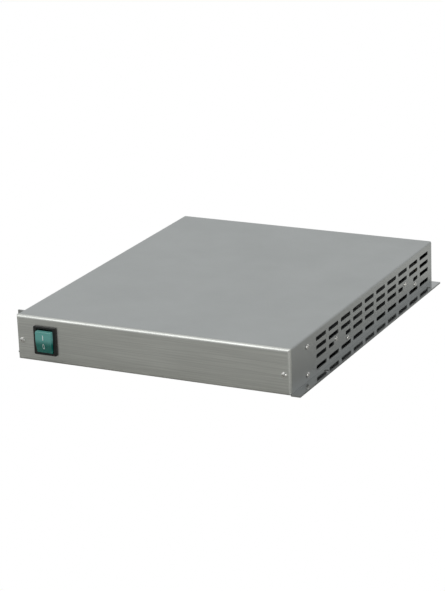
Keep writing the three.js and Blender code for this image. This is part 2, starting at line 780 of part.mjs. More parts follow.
// Outlet: a raised face with three slots inside a narrow trench that the plug's skirt enters.
function makeOutlet(x) {
  const flange = block(x, middleHeight, outletFlange, rearFace + gap, socketFace);
  const body = block(x, middleHeight, outletBody, socketFace - outletDepth, rearFace + gap + 0.1);
  const [width, height] = outletFace;
  const outer = cavityOutline(x, middleHeight, [width + 2 * outletTrench, height + 2 * outletTrench], 4);
  const inner = cavityOutline(x, middleHeight, outletFace, 3);
  const trench = cut(
    extrudeAlongY(outer, socketFace - outletTrenchDepth, socketFace + 1),
    extrudeAlongY(inner, socketFace - outletTrenchDepth - 1, socketFace + 2),
  );
  const slots = [[-inletPinPitch, -1], [0, 1], [inletPinPitch, -1]].map(([dx, up]) =>
    block(
      x + dx,
      middleHeight + up * inletPinOffset,
      [inletPin[0] + 0.6, inletPin[1] + 0.6],
      socketFace - outletSlotDepth,
      socketFace + 1,
    ),
  );
  return cut(join(flange, body), trench, ...slots);
}

const neckEnd = rearFace + breakerNeckProud;
const buttonBore = breakerButton + 0.15;
const buttonFront = neckEnd + breakerButtonProud - breakerButtonLength;

function makeBreakerBody() {
  const [width, depth, height] = breakerBody;
  const body = block(breakerX, middleHeight, [width, height], rearInside - gap - depth, rearInside - gap);
  const neck = rodAlongY(breakerX, middleHeight, breakerNeck, rearInside - gap - 1, neckEnd, 20);
  const bore = rodAlongY(breakerX, middleHeight, buttonBore, buttonFront - 4, neckEnd + 1, 20);
  return cut(join(body, neck), bore);
}

function makeNut(x, z, radius, hole, y0, y1) {
  return cut(rodAlongY(x, z, radius, y0, y1, 6), rodAlongY(x, z, hole, y0 - 1, y1 + 1, 20));
}

// Shank through the rear panel, with its head inside the case.
function makeStud() {
  const headFace = rearInside - gap;
  const head = rodAlongY(studX, studHeight, studHeadRadius, headFace - studHeadThickness, headFace, 6);
  const shank = rodAlongY(studX, studHeight, studRadius, headFace - 1, rearFace + studProud);
  return join(head, shank);
}

add("power_inlet", "blackPlastic", makeInlet());
add("fuse_drawer", "blackPlastic", makeFuseDrawer());
const fuseSpan = [inletX - fuseLength / 2, inletX + fuseLength / 2];
add("fuse", "nickel", rodAlongX(fuseY, fuseZ, fuseRadius, ...fuseSpan, 12));
outletXs.forEach((x, i) => add("outlet_" + (i + 1), "blackPlastic", makeOutlet(x)));
add("breaker_body", "blackPlastic", makeBreakerBody());
const buttonSpan = [buttonFront, neckEnd + breakerButtonProud];
add("breaker_button", "blackPlastic", rodAlongY(breakerX, middleHeight, breakerButton, ...buttonSpan, 20));
const nutSpan = (thickness) => [rearFace + gap, rearFace + gap + thickness];
const breakerNutSize = [breakerNutRadius, breakerNeck + 0.1];
const breakerNut = makeNut(breakerX, middleHeight, ...breakerNutSize, ...nutSpan(breakerNutThickness));
add("breaker_nut", "nickel", breakerNut);
add("earth_stud", "brass", makeStud());
const studNut = makeNut(studX, studHeight, studNutRadius, studRadius + 0.1, ...nutSpan(studNutThickness));
add("earth_nut", "brass", studNut);

// ---------------------------------------------------------------- batteries

const terminalHeight = floor + batteryHeight / 2;

// Sealed battery on its broad side, its two blade terminals facing the circuit board.
function makeBattery(y) {
  const body = box(batteryLeft, y, floor, batteryRight, y + batteryLength, batteryTop);
  const [width, thickness, length] = batteryTab;
  const [low, high] = [terminalHeight - thickness / 2, terminalHeight + thickness / 2];
  const tabs = [0, batteryTabSpread].map((along) => {
    const start = y + batteryTabFromEnd + along - width / 2;
    return box(batteryLeft - length, start, low, batteryLeft + 1, start + width, high);
  });
  return join(body, ...tabs);
}

// Strap over the joint between the two batteries, with a foot on the tray.
function makeStrap() {
  const middle = batteryFronts[1] - batteryGap / 2;
  const [y0, y1] = [middle - strapWidth / 2, middle + strapWidth / 2];
  const outerLeft = batteryLeft - gap - strapSheet;
  const outerRight = batteryRight + gap + strapSheet;
  const top = batteryTop + gap;
  return join(
    box(outerLeft, y0, top, outerRight, y1, top + strapSheet),
    box(outerLeft, y0, floor, outerLeft + strapSheet, y1, top + strapSheet),
    box(outerRight - strapSheet, y0, floor, outerRight, y1, top + strapSheet),
    box(outerLeft - strapFoot, y0, floor, outerLeft + strapSheet, y1, floor + strapSheet),
  );
}

add("battery_front", "batteryCase", makeBattery(batteryFronts[0]));
add("battery_rear", "batteryCase", makeBattery(batteryFronts[1]));
add("battery_strap", "blackPlastic", makeStrap());

// ---------------------------------------------------------------- circuit board

add("main_board", "boardGreen", box(boardLeft, boardFront, boardHeight, boardRight, boardRear, boardTop));

const boardMiddleX = (boardLeft + boardRight) / 2;
const coreX = boardMiddleX;
const coreY = boardFront + 20 + coreSize[1] / 2;
const coreBottom = onBoard + coilRise;
const windowX = coreLeg / 2 + coreWindow[0] / 2;

// Ferrite core lying flat, its two windows open upwards on both sides of the middle leg.
function makeCore() {
  const [width, depth, height] = coreSize;
  const [x0, x1] = [coreX - width / 2, coreX + width / 2];
  const [y0, y1] = [coreY - depth / 2, coreY + depth / 2];
  const body = box(x0, y0, coreBottom, x1, y1, coreBottom + height);
  const windows = [-windowX, windowX].map((dx) => {
    const half = [coreWindow[0] / 2, coreWindow[1] / 2];
    const x = coreX + dx;
    return box(x - half[0], coreY - half[1], 0, x + half[0], coreY + half[1], bodyHeight);
  });
  return cut(body, ...windows);
}

// Coil round the core's middle leg; it fills the windows and stands over and under the core.
function makeCoil() {
  const half = [coreLeg / 2 + coreWindow[0] - fit, coreWindow[1] / 2 - fit];
  const top = coreBottom + coreSize[2] + coilRise - gap;
  const body = box(coreX - half[0], coreY - half[1], onBoard, coreX + half[0], coreY + half[1], top);
  const leg = coreLeg / 2 + fit;
  const [low, high] = [coreBottom - fit, coreBottom + coreSize[2] + fit];
  return cut(body, box(coreX - leg, coreY - coreSize[1], low, coreX + leg, coreY + coreSize[1], high));
}

const heatsinkX = boardLeft + 8 + heatsinkSize[0] / 2;
const heatsinkY = boardRear - 22 - heatsinkSize[1] / 2;

// Comb-shaped extrusion: a base plate with upright fins.
function makeHeatsink() {
  const [width, length, height] = heatsinkSize;
  const step = (width - heatsinkFin) / (heatsinkFins - 1);
  const [y0, y1] = [heatsinkY - length / 2, heatsinkY + length / 2];
  const start = heatsinkX - width / 2;
  const base = box(start, y0, onBoard, start + width, y1, onBoard + heatsinkBase);
  const fins = [];
  for (let i = 0; i < heatsinkFins; i++) {
    const x = start + i * step;
    fins.push(box(x, y0, onBoard, x + heatsinkFin, y1, onBoard + height));
  }
  return join(base, ...fins);
}

add("transformer_core", "ferrite", makeCore());
add("transformer_coil", "copper", makeCoil());
add("heatsink", "heatsinkAluminium", makeHeatsink());
const capacitorX = boardRight - 8 - capacitorRadius;
for (let i = 0; i < 2; i++) {
  const y = boardRear - 30 - i * capacitorPitch;
  const can = rodAlongZ(capacitorX, y, capacitorRadius, onBoard, onBoard + capacitorHeight, 20);
  add("capacitor_" + (i + 1), "capacitorSleeve", can);
}
const relayX = capacitorX - capacitorRadius - 12 - relaySize[0];
const relayY = boardRear - 16 - relaySize[1];
const relayEnd = [relayX + relaySize[0], relayY + relaySize[1], onBoard + relaySize[2]];
add("relay", "relayBlue", box(relayX, relayY, onBoard, ...relayEnd));
const choke = new THREE.TorusGeometry(chokeRadius - chokeWire / 2, chokeWire, 8, 16);
add("choke", "copper", choke.translate(relayX, relayY - 30, onBoard + chokeWire + gap));

// ---------------------------------------------------------------- leads

// Insulated lead along a smooth curve through the given points.
function makeLead(points, radius) {
  const path = new THREE.CatmullRomCurve3(points.map((p) => new THREE.Vector3(...p)));
  const section = new THREE.Shape().absarc(0, 0, radius, 0, 2 * Math.PI, false);
  const options = { steps: leadSteps, extrudePath: path, curveSegments: 4, bevelEnabled: false };
  return new THREE.ExtrudeGeometry(section, options);
}

const tabTip = batteryLeft - batteryTab[2] - leadRadius - gap;
const leadEndX = boardRight - 14;
const batteryTabYs = batteryFronts.map((y) => [0, batteryTabSpread].map((dy) => y + batteryTabFromEnd + dy));
const overBoard = onBoard + leadRadius + 2;
const redY = batteryTabYs[0][0];
add("battery_lead_red", "redLead", makeLead([
  [tabTip, redY, terminalHeight],
  [tabTip - 6, redY + 4, terminalHeight],
  [leadEndX + 4, boardFront + 4, terminalHeight - 3],
  [leadEndX, boardFront + 16, overBoard],
], leadRadius));
const blackY = batteryTabYs[1][1];
add("battery_lead_black", "blackLead", makeLead([
  [tabTip, blackY, terminalHeight],
  [tabTip - 6, blackY - 3, terminalHeight],
  [leadEndX + 2, blackY - 12, terminalHeight - 3],
  [leadEndX - 4, blackY - 20, overBoard],
], leadRadius));
const terminalEnd = switchBack + terminalLength + leadRadius + gap;
add("switch_lead", "blackLead", makeLead([
  [switchX, terminalEnd, switchHeight + terminalSpread],
  [switchX + 2, terminalEnd + 5, switchHeight + terminalSpread],
  [switchX + 10, boardFront + 2, switchHeight],
  [switchX + 12, boardFront + 14, overBoard],
], leadRadius));

export default assembly;
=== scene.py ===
# %% [markdown]
# # A compact uninterruptible power supply
# The case is folded sheet metal: a U-shaped cover with slotted sides over a flat tray, and a
# thick brushed front panel with one green rocker switch. The sizes, places and moving bodies
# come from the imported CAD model. This lesson gives every piece its real edges, roundness and
# finish. All lengths are metres, in the same frame as the CAD model.

# %% Load the frame
import json
import math
import random

import bmesh
import bpy
from mathutils import Matrix, Vector


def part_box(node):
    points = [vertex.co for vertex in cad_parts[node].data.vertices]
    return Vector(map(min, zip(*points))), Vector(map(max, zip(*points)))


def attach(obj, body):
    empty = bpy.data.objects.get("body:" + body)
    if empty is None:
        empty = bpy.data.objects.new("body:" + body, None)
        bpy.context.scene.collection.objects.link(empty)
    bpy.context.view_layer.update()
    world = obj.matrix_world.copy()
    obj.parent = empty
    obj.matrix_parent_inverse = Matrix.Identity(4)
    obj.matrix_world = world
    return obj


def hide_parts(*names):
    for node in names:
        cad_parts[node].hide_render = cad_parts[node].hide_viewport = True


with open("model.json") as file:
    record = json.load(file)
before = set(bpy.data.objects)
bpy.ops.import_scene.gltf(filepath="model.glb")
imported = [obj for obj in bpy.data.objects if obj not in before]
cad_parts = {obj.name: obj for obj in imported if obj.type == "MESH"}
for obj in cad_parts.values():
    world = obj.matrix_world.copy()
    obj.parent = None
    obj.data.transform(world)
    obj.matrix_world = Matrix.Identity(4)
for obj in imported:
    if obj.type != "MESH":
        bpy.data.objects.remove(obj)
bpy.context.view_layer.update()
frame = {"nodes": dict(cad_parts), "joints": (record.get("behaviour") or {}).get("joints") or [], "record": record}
MM = 0.001

# %% [markdown]
# ## Camera
# A product picture of a flat case is taken from far away with a long lens, so its edges stay
# nearly parallel. The camera is placed by the direction from the case back to it, and by how
# far it is moved sideways and up in its own view. A small roll tips the horizon.

# %% Camera
VIEW_AZIMUTH = math.radians(26.87)
VIEW_ELEVATION = math.radians(18.30)
VIEW_ROLL = math.radians(-2.22)
VIEW_DISTANCE = 2.177
VIEW_LENS = 134.97
SENSOR_WIDTH = 36
NEAREST, FARTHEST = 0.05, 50
VIEW_SLIDE = (-9.7 * MM, 2.7 * MM)

panel_low, panel_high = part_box("front_panel")
cover_low, cover_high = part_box("top_cover")
case_middle = Vector((0, 0, cover_high.z / 2))


def place_camera():
    right = Vector((math.cos(VIEW_AZIMUTH), math.sin(VIEW_AZIMUTH), 0))
    level = Vector((right.y, -right.x, 0)) * math.cos(VIEW_ELEVATION)
    toward_camera = level + Vector((0, 0, math.sin(VIEW_ELEVATION)))
    up = toward_camera.cross(right)
    data = bpy.data.cameras.new("camera")
    data.lens = VIEW_LENS
    data.sensor_width = SENSOR_WIDTH
    data.clip_start, data.clip_end = NEAREST, FARTHEST
    camera = bpy.data.objects.new("camera", data)
    bpy.context.scene.collection.objects.link(camera)
    place = case_middle + toward_camera * VIEW_DISTANCE
    place += right * VIEW_SLIDE[0] + up * VIEW_SLIDE[1]
    turn = Matrix((right, up, toward_camera)).transposed() @ Matrix.Rotation(VIEW_ROLL, 3, "Z")
    camera.matrix_world = Matrix.LocRotScale(place, turn, None)
    bpy.context.scene.camera = camera
    return camera


camera = place_camera()
print("camera at", [round(c, 3) for c in camera.location])

# %% [markdown]
# ## Shader nodes by name
# Every finish below is a small tree of shader nodes. One helper adds a node, sets its options
# and fills its inputs, either with a plain value or with a link from another node's output.
# Short helpers on top of it name the few steps that come back all the time.

# %% A helper for shader trees


def add_node(tree, kind, inputs=None, **settings):
    node = tree.nodes.new("ShaderNode" + kind)
    for setting, value in settings.items():
        setattr(node, setting, value)
    for socket, value in (inputs or {}).items():
        if isinstance(value, bpy.types.NodeSocket):
            tree.links.new(value, node.inputs[socket])
        else:
            node.inputs[socket].default_value = value
    return node


def calculated(tree, operation, first, second, **settings):
    return add_node(tree, "Math", {0: first, 1: second}, operation=operation, **settings).outputs[0]


def scaled(tree, vector, scale):
    return add_node(tree, "VectorMath", {0: vector, "Scale": scale}, operation="SCALE").outputs[0]


def object_coordinate(tree, axis):
    place = add_node(tree, "TexCoord").outputs["Object"]
    return add_node(tree, "SeparateXYZ", {0: place}).outputs[axis]


def smooth_range(tree, value, limits):
    inputs = {"Value": value, **limits}
    return add_node(tree, "MapRange", inputs, interpolation_type="SMOOTHSTEP").outputs[0]


def white_to_camera(tree, shader, white):
    """Rays from the camera see plain white; light itself meets the shader."""
    from_camera = add_node(tree, "LightPath").outputs["Is Camera Ray"]
    return add_node(tree, "MixShader", {0: from_camera, 1: shader, 2: white}).outputs[0]


print("shader helpers ready")

# %% [markdown]
# ## Floor and light
# Metal shows whatever is around it, so the surroundings matter as much as the finish. The floor
# is a white sheet that throws back a warm grey light, more of it towards the rear. The sky is
# brighter on one side than on the other, which could be done with many lamps; a gradient in the
# world is smoother, and it keeps the broad top even while the slotted wall falls into a soft
# shade. A softbox overhead draws the bright line along the panel's rounded top edge, and a low
# one at the right lights the strip beside it.

# %% Floor
FLOOR_SIZE = 12
FLOOR_DROP = 0.2 * MM
FLOOR_GREY = (0.47, 0.465, 0.445)
FLOOR_SHADE = {"From Min": -0.2, "From Max": 0.3, "To Min": 0.92, "To Max": 1.75}
WHITE = (1, 1, 1, 1)


def make_floor():
    bm = bmesh.new()
    bmesh.ops.create_grid(bm, x_segments=1, y_segments=1, size=FLOOR_SIZE / 2)
    mesh = bpy.data.meshes.new("floor")
    bm.to_mesh(mesh)
    bm.free()
    floor = bpy.data.objects.new("floor", mesh)
    floor.location.z = -FLOOR_DROP
    bpy.context.scene.collection.objects.link(floor)
    material = bpy.data.materials.new("white floor")
    material.use_nodes = True
    tree = material.node_tree
    tree.nodes.clear()
    shade = smooth_range(tree, object_coordinate(tree, "Y"), FLOOR_SHADE)
    matt = add_node(tree, "BsdfDiffuse", {"Color": scaled(tree, FLOOR_GREY, shade)}).outputs[0]
    lit = add_node(tree, "Emission", {"Color": WHITE, "Strength": 1.0}).outputs[0]
    add_node(tree, "OutputMaterial", {"Surface": white_to_camera(tree, matt, lit)})
    mesh.materials.append(material)


make_floor()
print("floor:", FLOOR_SIZE, "m square")

# %% Sky and softboxes
SKY_TURN = math.radians(25)
SKY_SHADE = {"From Min": -0.35, "From Max": 0.75, "To Min": 0.66, "To Max": 0.30}
SKY_TINT = (0.975, 0.995, 1.0, 1)
LIT_POINT = Vector((0, 0, 0.02))
SOFTBOXES = {
    "overhead": ((-0.65, -0.75, 1.6), (1.2, 1.2), 5.5),
    "low right": ((1.6, -0.8, 0.4), (0.8, 0.7), 7),
}


def make_world():
    world = bpy.data.worlds.new("studio")
    world.use_nodes = True
    tree = world.node_tree
    tree.nodes.clear()
    direction = add_node(tree, "TexCoord").outputs["Generated"]
    turn = {"Vector": direction, "Angle": SKY_TURN}
    turned = add_node(tree, "VectorRotate", turn, rotation_type="Z_AXIS").outputs[0]
    across = add_node(tree, "SeparateXYZ", {0: turned}).outputs["X"]
    glow = smooth_range(tree, across, SKY_SHADE)
    sky = add_node(tree, "Background", {"Color": SKY_TINT, "Strength": glow}).outputs[0]
    backdrop = add_node(tree, "Background", {"Color": WHITE, "Strength": 1.0}).outputs[0]
    add_node(tree, "OutputWorld", {"Surface": white_to_camera(tree, sky, backdrop)})
    bpy.context.scene.world = world


def add_softbox(name, place, size, power):
    data = bpy.data.lights.new(name, "AREA")
    data.shape = "RECTANGLE"
    data.size, data.size_y = size
    data.energy = power
    light = bpy.data.objects.new(name, data)
    light.location = place
    light.rotation_euler = (LIT_POINT - Vector(place)).to_track_quat("-Z", "Y").to_euler()
    bpy.context.scene.collection.objects.link(light)


make_world()
for name, (place, size, power) in SOFTBOXES.items():
    add_softbox(name, place, size, power)
bpy.context.scene.view_settings.view_transform = "Standard"

# %% [markdown]
# ## Effects that several finishes share
# Four effects come back in many finishes: fine grain, slow blotches in the gloss, bare bright
# edges and dust that settles on top. Each is built once as a node group that puts out a plain
# value, and each finish sets its own amounts. Grain reads Object coordinates, so it has the
# same size on every piece. Bare edges are found where a rounded normal differs from the true
# one; that works on any mesh, while a painted mask would need one per piece.

# %% Node groups
USUAL_NOISE = {"From Min": 0.3, "From Max": 0.7}
EDGE_MATCH = {"From Min": 0.995, "From Max": 0.80, "To Min": 0.0, "To Max": 1.0}


def new_group(name, inputs, outputs):
    tree = bpy.data.node_groups.new(name, "ShaderNodeTree")
    for socket, value in inputs.items():
        kind = "NodeSocketVector" if isinstance(value, tuple) else "NodeSocketFloat"
        tree.interface.new_socket(socket, in_out="INPUT", socket_type=kind).default_value = value
    for socket in outputs:
        tree.interface.new_socket(socket, in_out="OUTPUT", socket_type="NodeSocketFloat")
    return tree, tree.nodes.new("NodeGroupInput").outputs, tree.nodes.new("NodeGroupOutput").inputs


def stretched_noise(tree, scale, stretch, detail):
    place = add_node(tree, "TexCoord").outputs["Object"]
    place = add_node(tree, "VectorMath", {0: place, 1: stretch}, operation="MULTIPLY").outputs[0]
    return add_node(tree, "TexNoise", {"Vector": place, "Scale": scale, "Detail": detail}).outputs[0]


def spread_noise(tree, noise, low, high):
    inputs = {"Value": noise, **USUAL_NOISE, "To Min": low, "To Max": high}
    return add_node(tree, "MapRange", inputs).outputs[0]


def build_grain():
    inputs = {"Scale": 900.0, "Stretch": (1.0, 1.0, 1.0), "Contrast": 0.05}
    tree, given, out = new_group("grain", inputs, ["Tint", "Height"])
    noise = stretched_noise(tree, given["Scale"], given["Stretch"], 3.0)
    low = calculated(tree, "SUBTRACT", 1.0, given["Contrast"])
    high = calculated(tree, "ADD", 1.0, given["Contrast"])
    tree.links.new(spread_noise(tree, noise, low, high), out["Tint"])
    tree.links.new(noise, out["Height"])
    return tree


def build_blotches():
    tree, given, out = new_group("blotches", {"Scale": 18.0, "Low": 0.3, "High": 0.4}, ["Value"])
    noise = stretched_noise(tree, given["Scale"], (1, 1, 1), 2.0)
    tree.links.new(spread_noise(tree, noise, given["Low"], given["High"]), out["Value"])
    return tree


def build_edge_wear():
    tree, given, out = new_group("edge wear", {"Radius": 0.0004, "Amount": 1.0}, ["Mask"])
    rounded = add_node(tree, "Bevel", {"Radius": given["Radius"]}, samples=4).outputs[0]
    true = add_node(tree, "NewGeometry").outputs["Normal"]
    match = add_node(tree, "VectorMath", {0: rounded, 1: true}, operation="DOT_PRODUCT").outputs["Value"]
    edge = add_node(tree, "MapRange", {"Value": match, **EDGE_MATCH}).outputs[0]
    rubbed = spread_noise(tree, stretched_noise(tree, 260.0, (1, 1, 1), 3.0), 0.25, 1.0)
    broken = calculated(tree, "MULTIPLY", edge, rubbed)
    tree.links.new(calculated(tree, "MULTIPLY", broken, given["Amount"]), out["Mask"])
    return tree


def build_dust():
    tree, given, out = new_group("dust", {"Amount": 0.1, "Scale": 60.0}, ["Mask"])
    normal = add_node(tree, "NewGeometry").outputs["Normal"]
    upward = add_node(tree, "SeparateXYZ", {0: normal}).outputs["Z"]
    lying = calculated(tree, "MULTIPLY", upward, given["Amount"], use_clamp=True)
    specks = spread_noise(tree, stretched_noise(tree, given["Scale"], (1, 1, 1), 5.0), 0.3, 1.0)
    tree.links.new(calculated(tree, "MULTIPLY", lying, specks), out["Mask"])
    return tree


GRAIN, BLOTCHES, EDGE_WEAR, DUST = build_grain(), build_blotches(), build_edge_wear(), build_dust()
print("node groups:", [group.name for group in bpy.data.node_groups])

# %% [markdown]
# ## Finishes
# Most of the finishes are one recipe with different amounts: a colour that the grain varies and
# worn edges lighten, a roughness with slow blotches in it, a little dust, and a shallow bump
# from the same grain. Metal differs from plastic in one number and in how much edges show.
# Numbers that are the same all over a surface are set straight on the shader's own sockets.

# %% A recipe for a finish
DUST_COLOR = (0.42, 0.40, 0.37, 1)
GLOSS_SPREAD = (0.9, 1.12)


def place_group(tree, group, inputs):
    node = add_node(tree, "Group", node_tree=group)
    for socket, value in inputs.items():
        node.inputs[socket].default_value = value
    return node.outputs


def make_finish(
    name,
    color,
    roughness,
    metallic=0.0,
    grain=900.0,
    stretch=(1.0, 1.0, 1.0),
    contrast=0.05,
    bump=0.1,
    depth=0.02 * MM,
    wear=0.2,
    dust=0.04,
    **shader,
):
    material = bpy.data.materials.new(name)
    material.use_nodes = True
    tree = material.node_tree
    principled = tree.nodes["Principled BSDF"]
    marks = place_group(tree, GRAIN, {"Scale": grain, "Stretch": stretch, "Contrast": contrast})
    low, high = (roughness * share for share in GLOSS_SPREAD)
    gloss = place_group(tree, BLOTCHES, {"Low": low, "High": high})
    edges = place_group(tree, EDGE_WEAR, {"Amount": wear})
    specks = place_group(tree, DUST, {"Amount": dust})
    bright = calculated(tree, "ADD", marks["Tint"], edges["Mask"])
    dusted = add_node(tree, "Mix", data_type="RGBA")
    by_name = {socket.identifier: socket for socket in [*dusted.inputs, *dusted.outputs]}
    tree.links.new(specks["Mask"], by_name["Factor_Float"])
    tree.links.new(scaled(tree, color, bright), by_name["A_Color"])
    by_name["B_Color"].default_value = DUST_COLOR
    tree.links.new(by_name["Result_Color"], principled.inputs["Base Color"])
    dull = calculated(tree, "ADD", gloss["Value"], specks["Mask"])
    tree.links.new(dull, principled.inputs["Roughness"])
    relief = {"Height": marks["Height"], "Strength": bump, "Distance": depth}
    tree.links.new(add_node(tree, "Bump", relief).outputs[0], principled.inputs["Normal"])
    principled.inputs["Metallic"].default_value = metallic
    for socket, value in shader.items():
        principled.inputs[socket.replace("_", " ")].default_value = value
    return material


# %% [markdown]
# The cover is satin steel sheet: fine even grain, no direction. The front panel is aluminium
# brushed along its length, so its grain is drawn out a hundred times in X. The tray is bright
# rolled sheet, smooth enough to mirror the slots above it.

# %% Metals
ALONG_X = (0.012, 1.0, 1.0)
ALONG_Y = (1.0, 0.03, 1.0)
satin = {"contrast": 0.02, "bump": 0.12, "wear": 0.1}
satin_steel = make_finish("satin steel", (0.515, 0.53, 0.525), 0.38, 1.0, **satin)
brushed = {"stretch": ALONG_X, "contrast": 0.10, "bump": 0.35, "depth": 0.03 * MM, "wear": 0.16}
panel_aluminium = make_finish("brushed aluminium", (0.76, 0.77, 0.735), 0.36, 1.0, 1400.0, **brushed)
rolled = {"stretch": ALONG_Y, "contrast": 0.03, "bump": 0.08, "wear": 0.1}
tray_zinc = make_finish("bright rolled zinc", (0.50, 0.51, 0.51), 0.12, 1.0, 700.0, **rolled)
nickel = make_finish("bright nickel", (0.80, 0.79, 0.76), 0.2, 1.0, contrast=0.03, bump=0.05)
brass = make_finish("machined brass", (0.70, 0.56, 0.28), 0.28, 1.0, contrast=0.04)
tin = make_finish("tinned contacts", (0.72, 0.72, 0.70), 0.3, 1.0, contrast=0.05)
drawn = {"stretch": ALONG_Y, "contrast": 0.06}
heatsink_aluminium = make_finish("extruded aluminium", (0.72, 0.73, 0.74), 0.42, 1.0, **drawn)
print("metals:", satin_steel.name, panel_aluminium.name, tray_zinc.name, nickel.name, brass.name)

# %% [markdown]
# Moulded plastic has a fine matt texture from its mould, and its edges hardly show. The leads
# and the shrink sleeves are glossier. Ferrite is a fired ceramic with a coarse dull grain.

# %% Plastics, lacquer and ceramic
moulded = {"wear": 0.05, "contrast": 0.12, "bump": 0.2}
black_plastic = make_finish("black plastic", (0.012, 0.013, 0.0125), 0.34, **moulded)
coarse = {"grain": 600.0, "contrast": 0.15, "bump": 0.35, "wear": 0.1}
battery_case = make_finish("battery case", (0.024, 0.026, 0.029), 0.55, **coarse)
laminate = {"grain": 300.0, "contrast": 0.14, "dust": 0.1}
board_green = make_finish("circuit board", (0.012, 0.10, 0.035), 0.32, **laminate)
fired = {"grain": 500.0, "contrast": 0.2, "bump": 0.4, "wear": 0.3}
ferrite = make_finish("ferrite", (0.035, 0.033, 0.032), 0.7, **fired)
lacquered = {"contrast": 0.12, "Coat_Weight": 0.6}
copper_winding = make_finish("lacquered copper", (0.50, 0.19, 0.075), 0.25, 0.85, **lacquered)
capacitor_sleeve = make_finish("shrink sleeve", (0.012, 0.018, 0.035), 0.22, contrast=0.06, bump=0.05)
relay_blue = make_finish("relay cover", (0.03, 0.13, 0.42), 0.3, contrast=0.06)
red_lead = make_finish("red insulation", (0.42, 0.018, 0.014), 0.3, contrast=0.05, bump=0.05)
black_lead = make_finish("black insulation", (0.012, 0.012, 0.012), 0.3, contrast=0.1, bump=0.05)
white_mark = make_finish("white print", (0.85, 0.95, 0.93), 0.4, contrast=0.05, wear=0.0)
print("plastics and lacquers:", len(bpy.data.materials), "materials so far")

# %% [markdown]
# The rocker is clear green plastic over a lamp. Light goes some way into it and comes back
# green, which is what subsurface scattering does, and its skin is glossy. Plain green paint
# would look dead there. Its upper half is made paler by a painted highlight: a soft emission
# that depends on the height and fades downwards, standing in for the light from above that the
# crowned face catches; it costs nothing and can be set exactly. The lamp and the fuse are thin
# glass, done with transmission.

# %% Green lens and glass
lens_look = {"contrast": 0.08, "bump": 0.04, "wear": 0.3, "Coat_Weight": 0.5}
lens_depth = {"Subsurface_Weight": 0.35, "Subsurface_Radius": (0.3 * MM, 2 * MM, 1.6 * MM)}
green_lens = make_finish("green lens", (0.008, 0.19, 0.155), 0.18, **lens_look, **lens_depth)
UPPER_HIGHLIGHT_COLOR = (0.30, 0.62, 0.60)
UPPER_HIGHLIGHT_FADE = {"From Min": -3 * MM, "From Max": 4 * MM, "To Min": 0.0, "To Max": 0.22}


def paint_upper_half_highlight(material):
    """Paints a highlight on the upper half of the rocker: an emission that fades downwards makes that half paler.
    """
    tree = material.node_tree
    middle = sum(corner.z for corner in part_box("switch_rocker")) / 2
    above = calculated(tree, "SUBTRACT", object_coordinate(tree, "Z"), middle)
    glow = smooth_range(tree, above, UPPER_HIGHLIGHT_FADE)
    principled = tree.nodes["Principled BSDF"]
    # Painted highlight: the emission grows towards the top of the rocker.
    tree.links.new(scaled(tree, UPPER_HIGHLIGHT_COLOR, glow), principled.inputs["Emission Color"])
    principled.inputs["Emission Strength"].default_value = 1.0


paint_upper_half_highlight(green_lens)
glass_look = {"contrast": 0.02, "bump": 0.02, "wear": 0.0, "dust": 0.02}
glass_look.update({"Transmission_Weight": 1.0, "IOR": 1.5})
clear_glass = make_finish("clear glass", (0.93, 0.96, 0.96), 0.04, **glass_look)
amber_glass = make_finish("amber glass", (0.95, 0.55, 0.25), 0.05, **glass_look)
print("clear materials:", green_lens.name, clear_glass.name, amber_glass.name)

# %% [markdown]
# ## From a bench part to a finished piece
# A CAD node is made of loose triangles with knife-sharp edges. Real sheet and mouldings have a
# small radius everywhere, and that radius is what catches the light. Each piece starts from a
# cleaned copy of its node or from a new shape, and gets a narrow rounded edge from a Bevel
# modifier. Beveling by hand would give the same edges but would be slow to change.

# %% Helpers for pieces
EDGE = 0.18 * MM
NEAR = 0.01 * MM
MERGE = 0.001 * MM
SPIN_MERGE = 0.002 * MM
FLAT_WITHIN = math.radians(0.5)
bodies = frame["record"]["behaviour"]["bodies"]
body_of = {node: body for body, nodes in bodies.items() for node in nodes}
pieces = []


def node_shape(node):
    """A copy of a CAD node with its triangles joined and each flat side one face."""
    bm = bmesh.new()
    bm.from_mesh(frame["nodes"][node].data)
    bmesh.ops.remove_doubles(bm, verts=bm.verts, dist=MERGE)
    bmesh.ops.dissolve_limit(bm, angle_limit=FLAT_WITHIN, verts=bm.verts, edges=bm.edges)
    return bm


def make_piece(bm, name, material, node, replaces=True, edge=EDGE, segments=2, smooth=35, slot=None):
    """Turns a bmesh into a finished piece that moves with the body of the given CAD node."""
    mesh = bpy.data.meshes.new(name)
    bm.to_mesh(mesh)
    bm.free()
    mesh.shade_smooth()
    mesh.set_sharp_from_angle(angle=math.radians(smooth))
    mesh.materials.clear()
    mesh.materials.append(material)
    piece = bpy.data.objects.new(name, mesh)
    bpy.context.scene.collection.objects.link(piece)
    if edge:
        rounding = piece.modifiers.new("rounded edges", "BEVEL")
        rounding.width = edge
        rounding.segments = segments
        rounding.limit_method = "ANGLE"
        rounding.angle_limit = math.radians(smooth)
        rounding.use_clamp_overlap = False
        rounding.harden_normals = True
    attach(piece, body_of[node])
    if replaces:
        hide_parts(node)
    pieces.append(piece)
    return piece


def add_detail(bm, name, material, node, edge=0, **rest):
    """A further piece on a node that another piece already replaces."""
    return make_piece(bm, name, material, node, replaces=False, edge=edge, **rest)


def box_shape(low, high):
    bm = bmesh.new()
    low, high = Vector(low), Vector(high)
    place = Matrix.Translation((low + high) / 2) @ Matrix.Diagonal((*(high - low), 1))
    bmesh.ops.create_cube(bm, size=1, matrix=place)
    return bm


def rounded(bm, edges, radius, segments):
    bmesh.ops.bevel(
        bm, geom=edges, offset=radius, segments=segments, profile=0.5, affect="EDGES", material=-1
    )


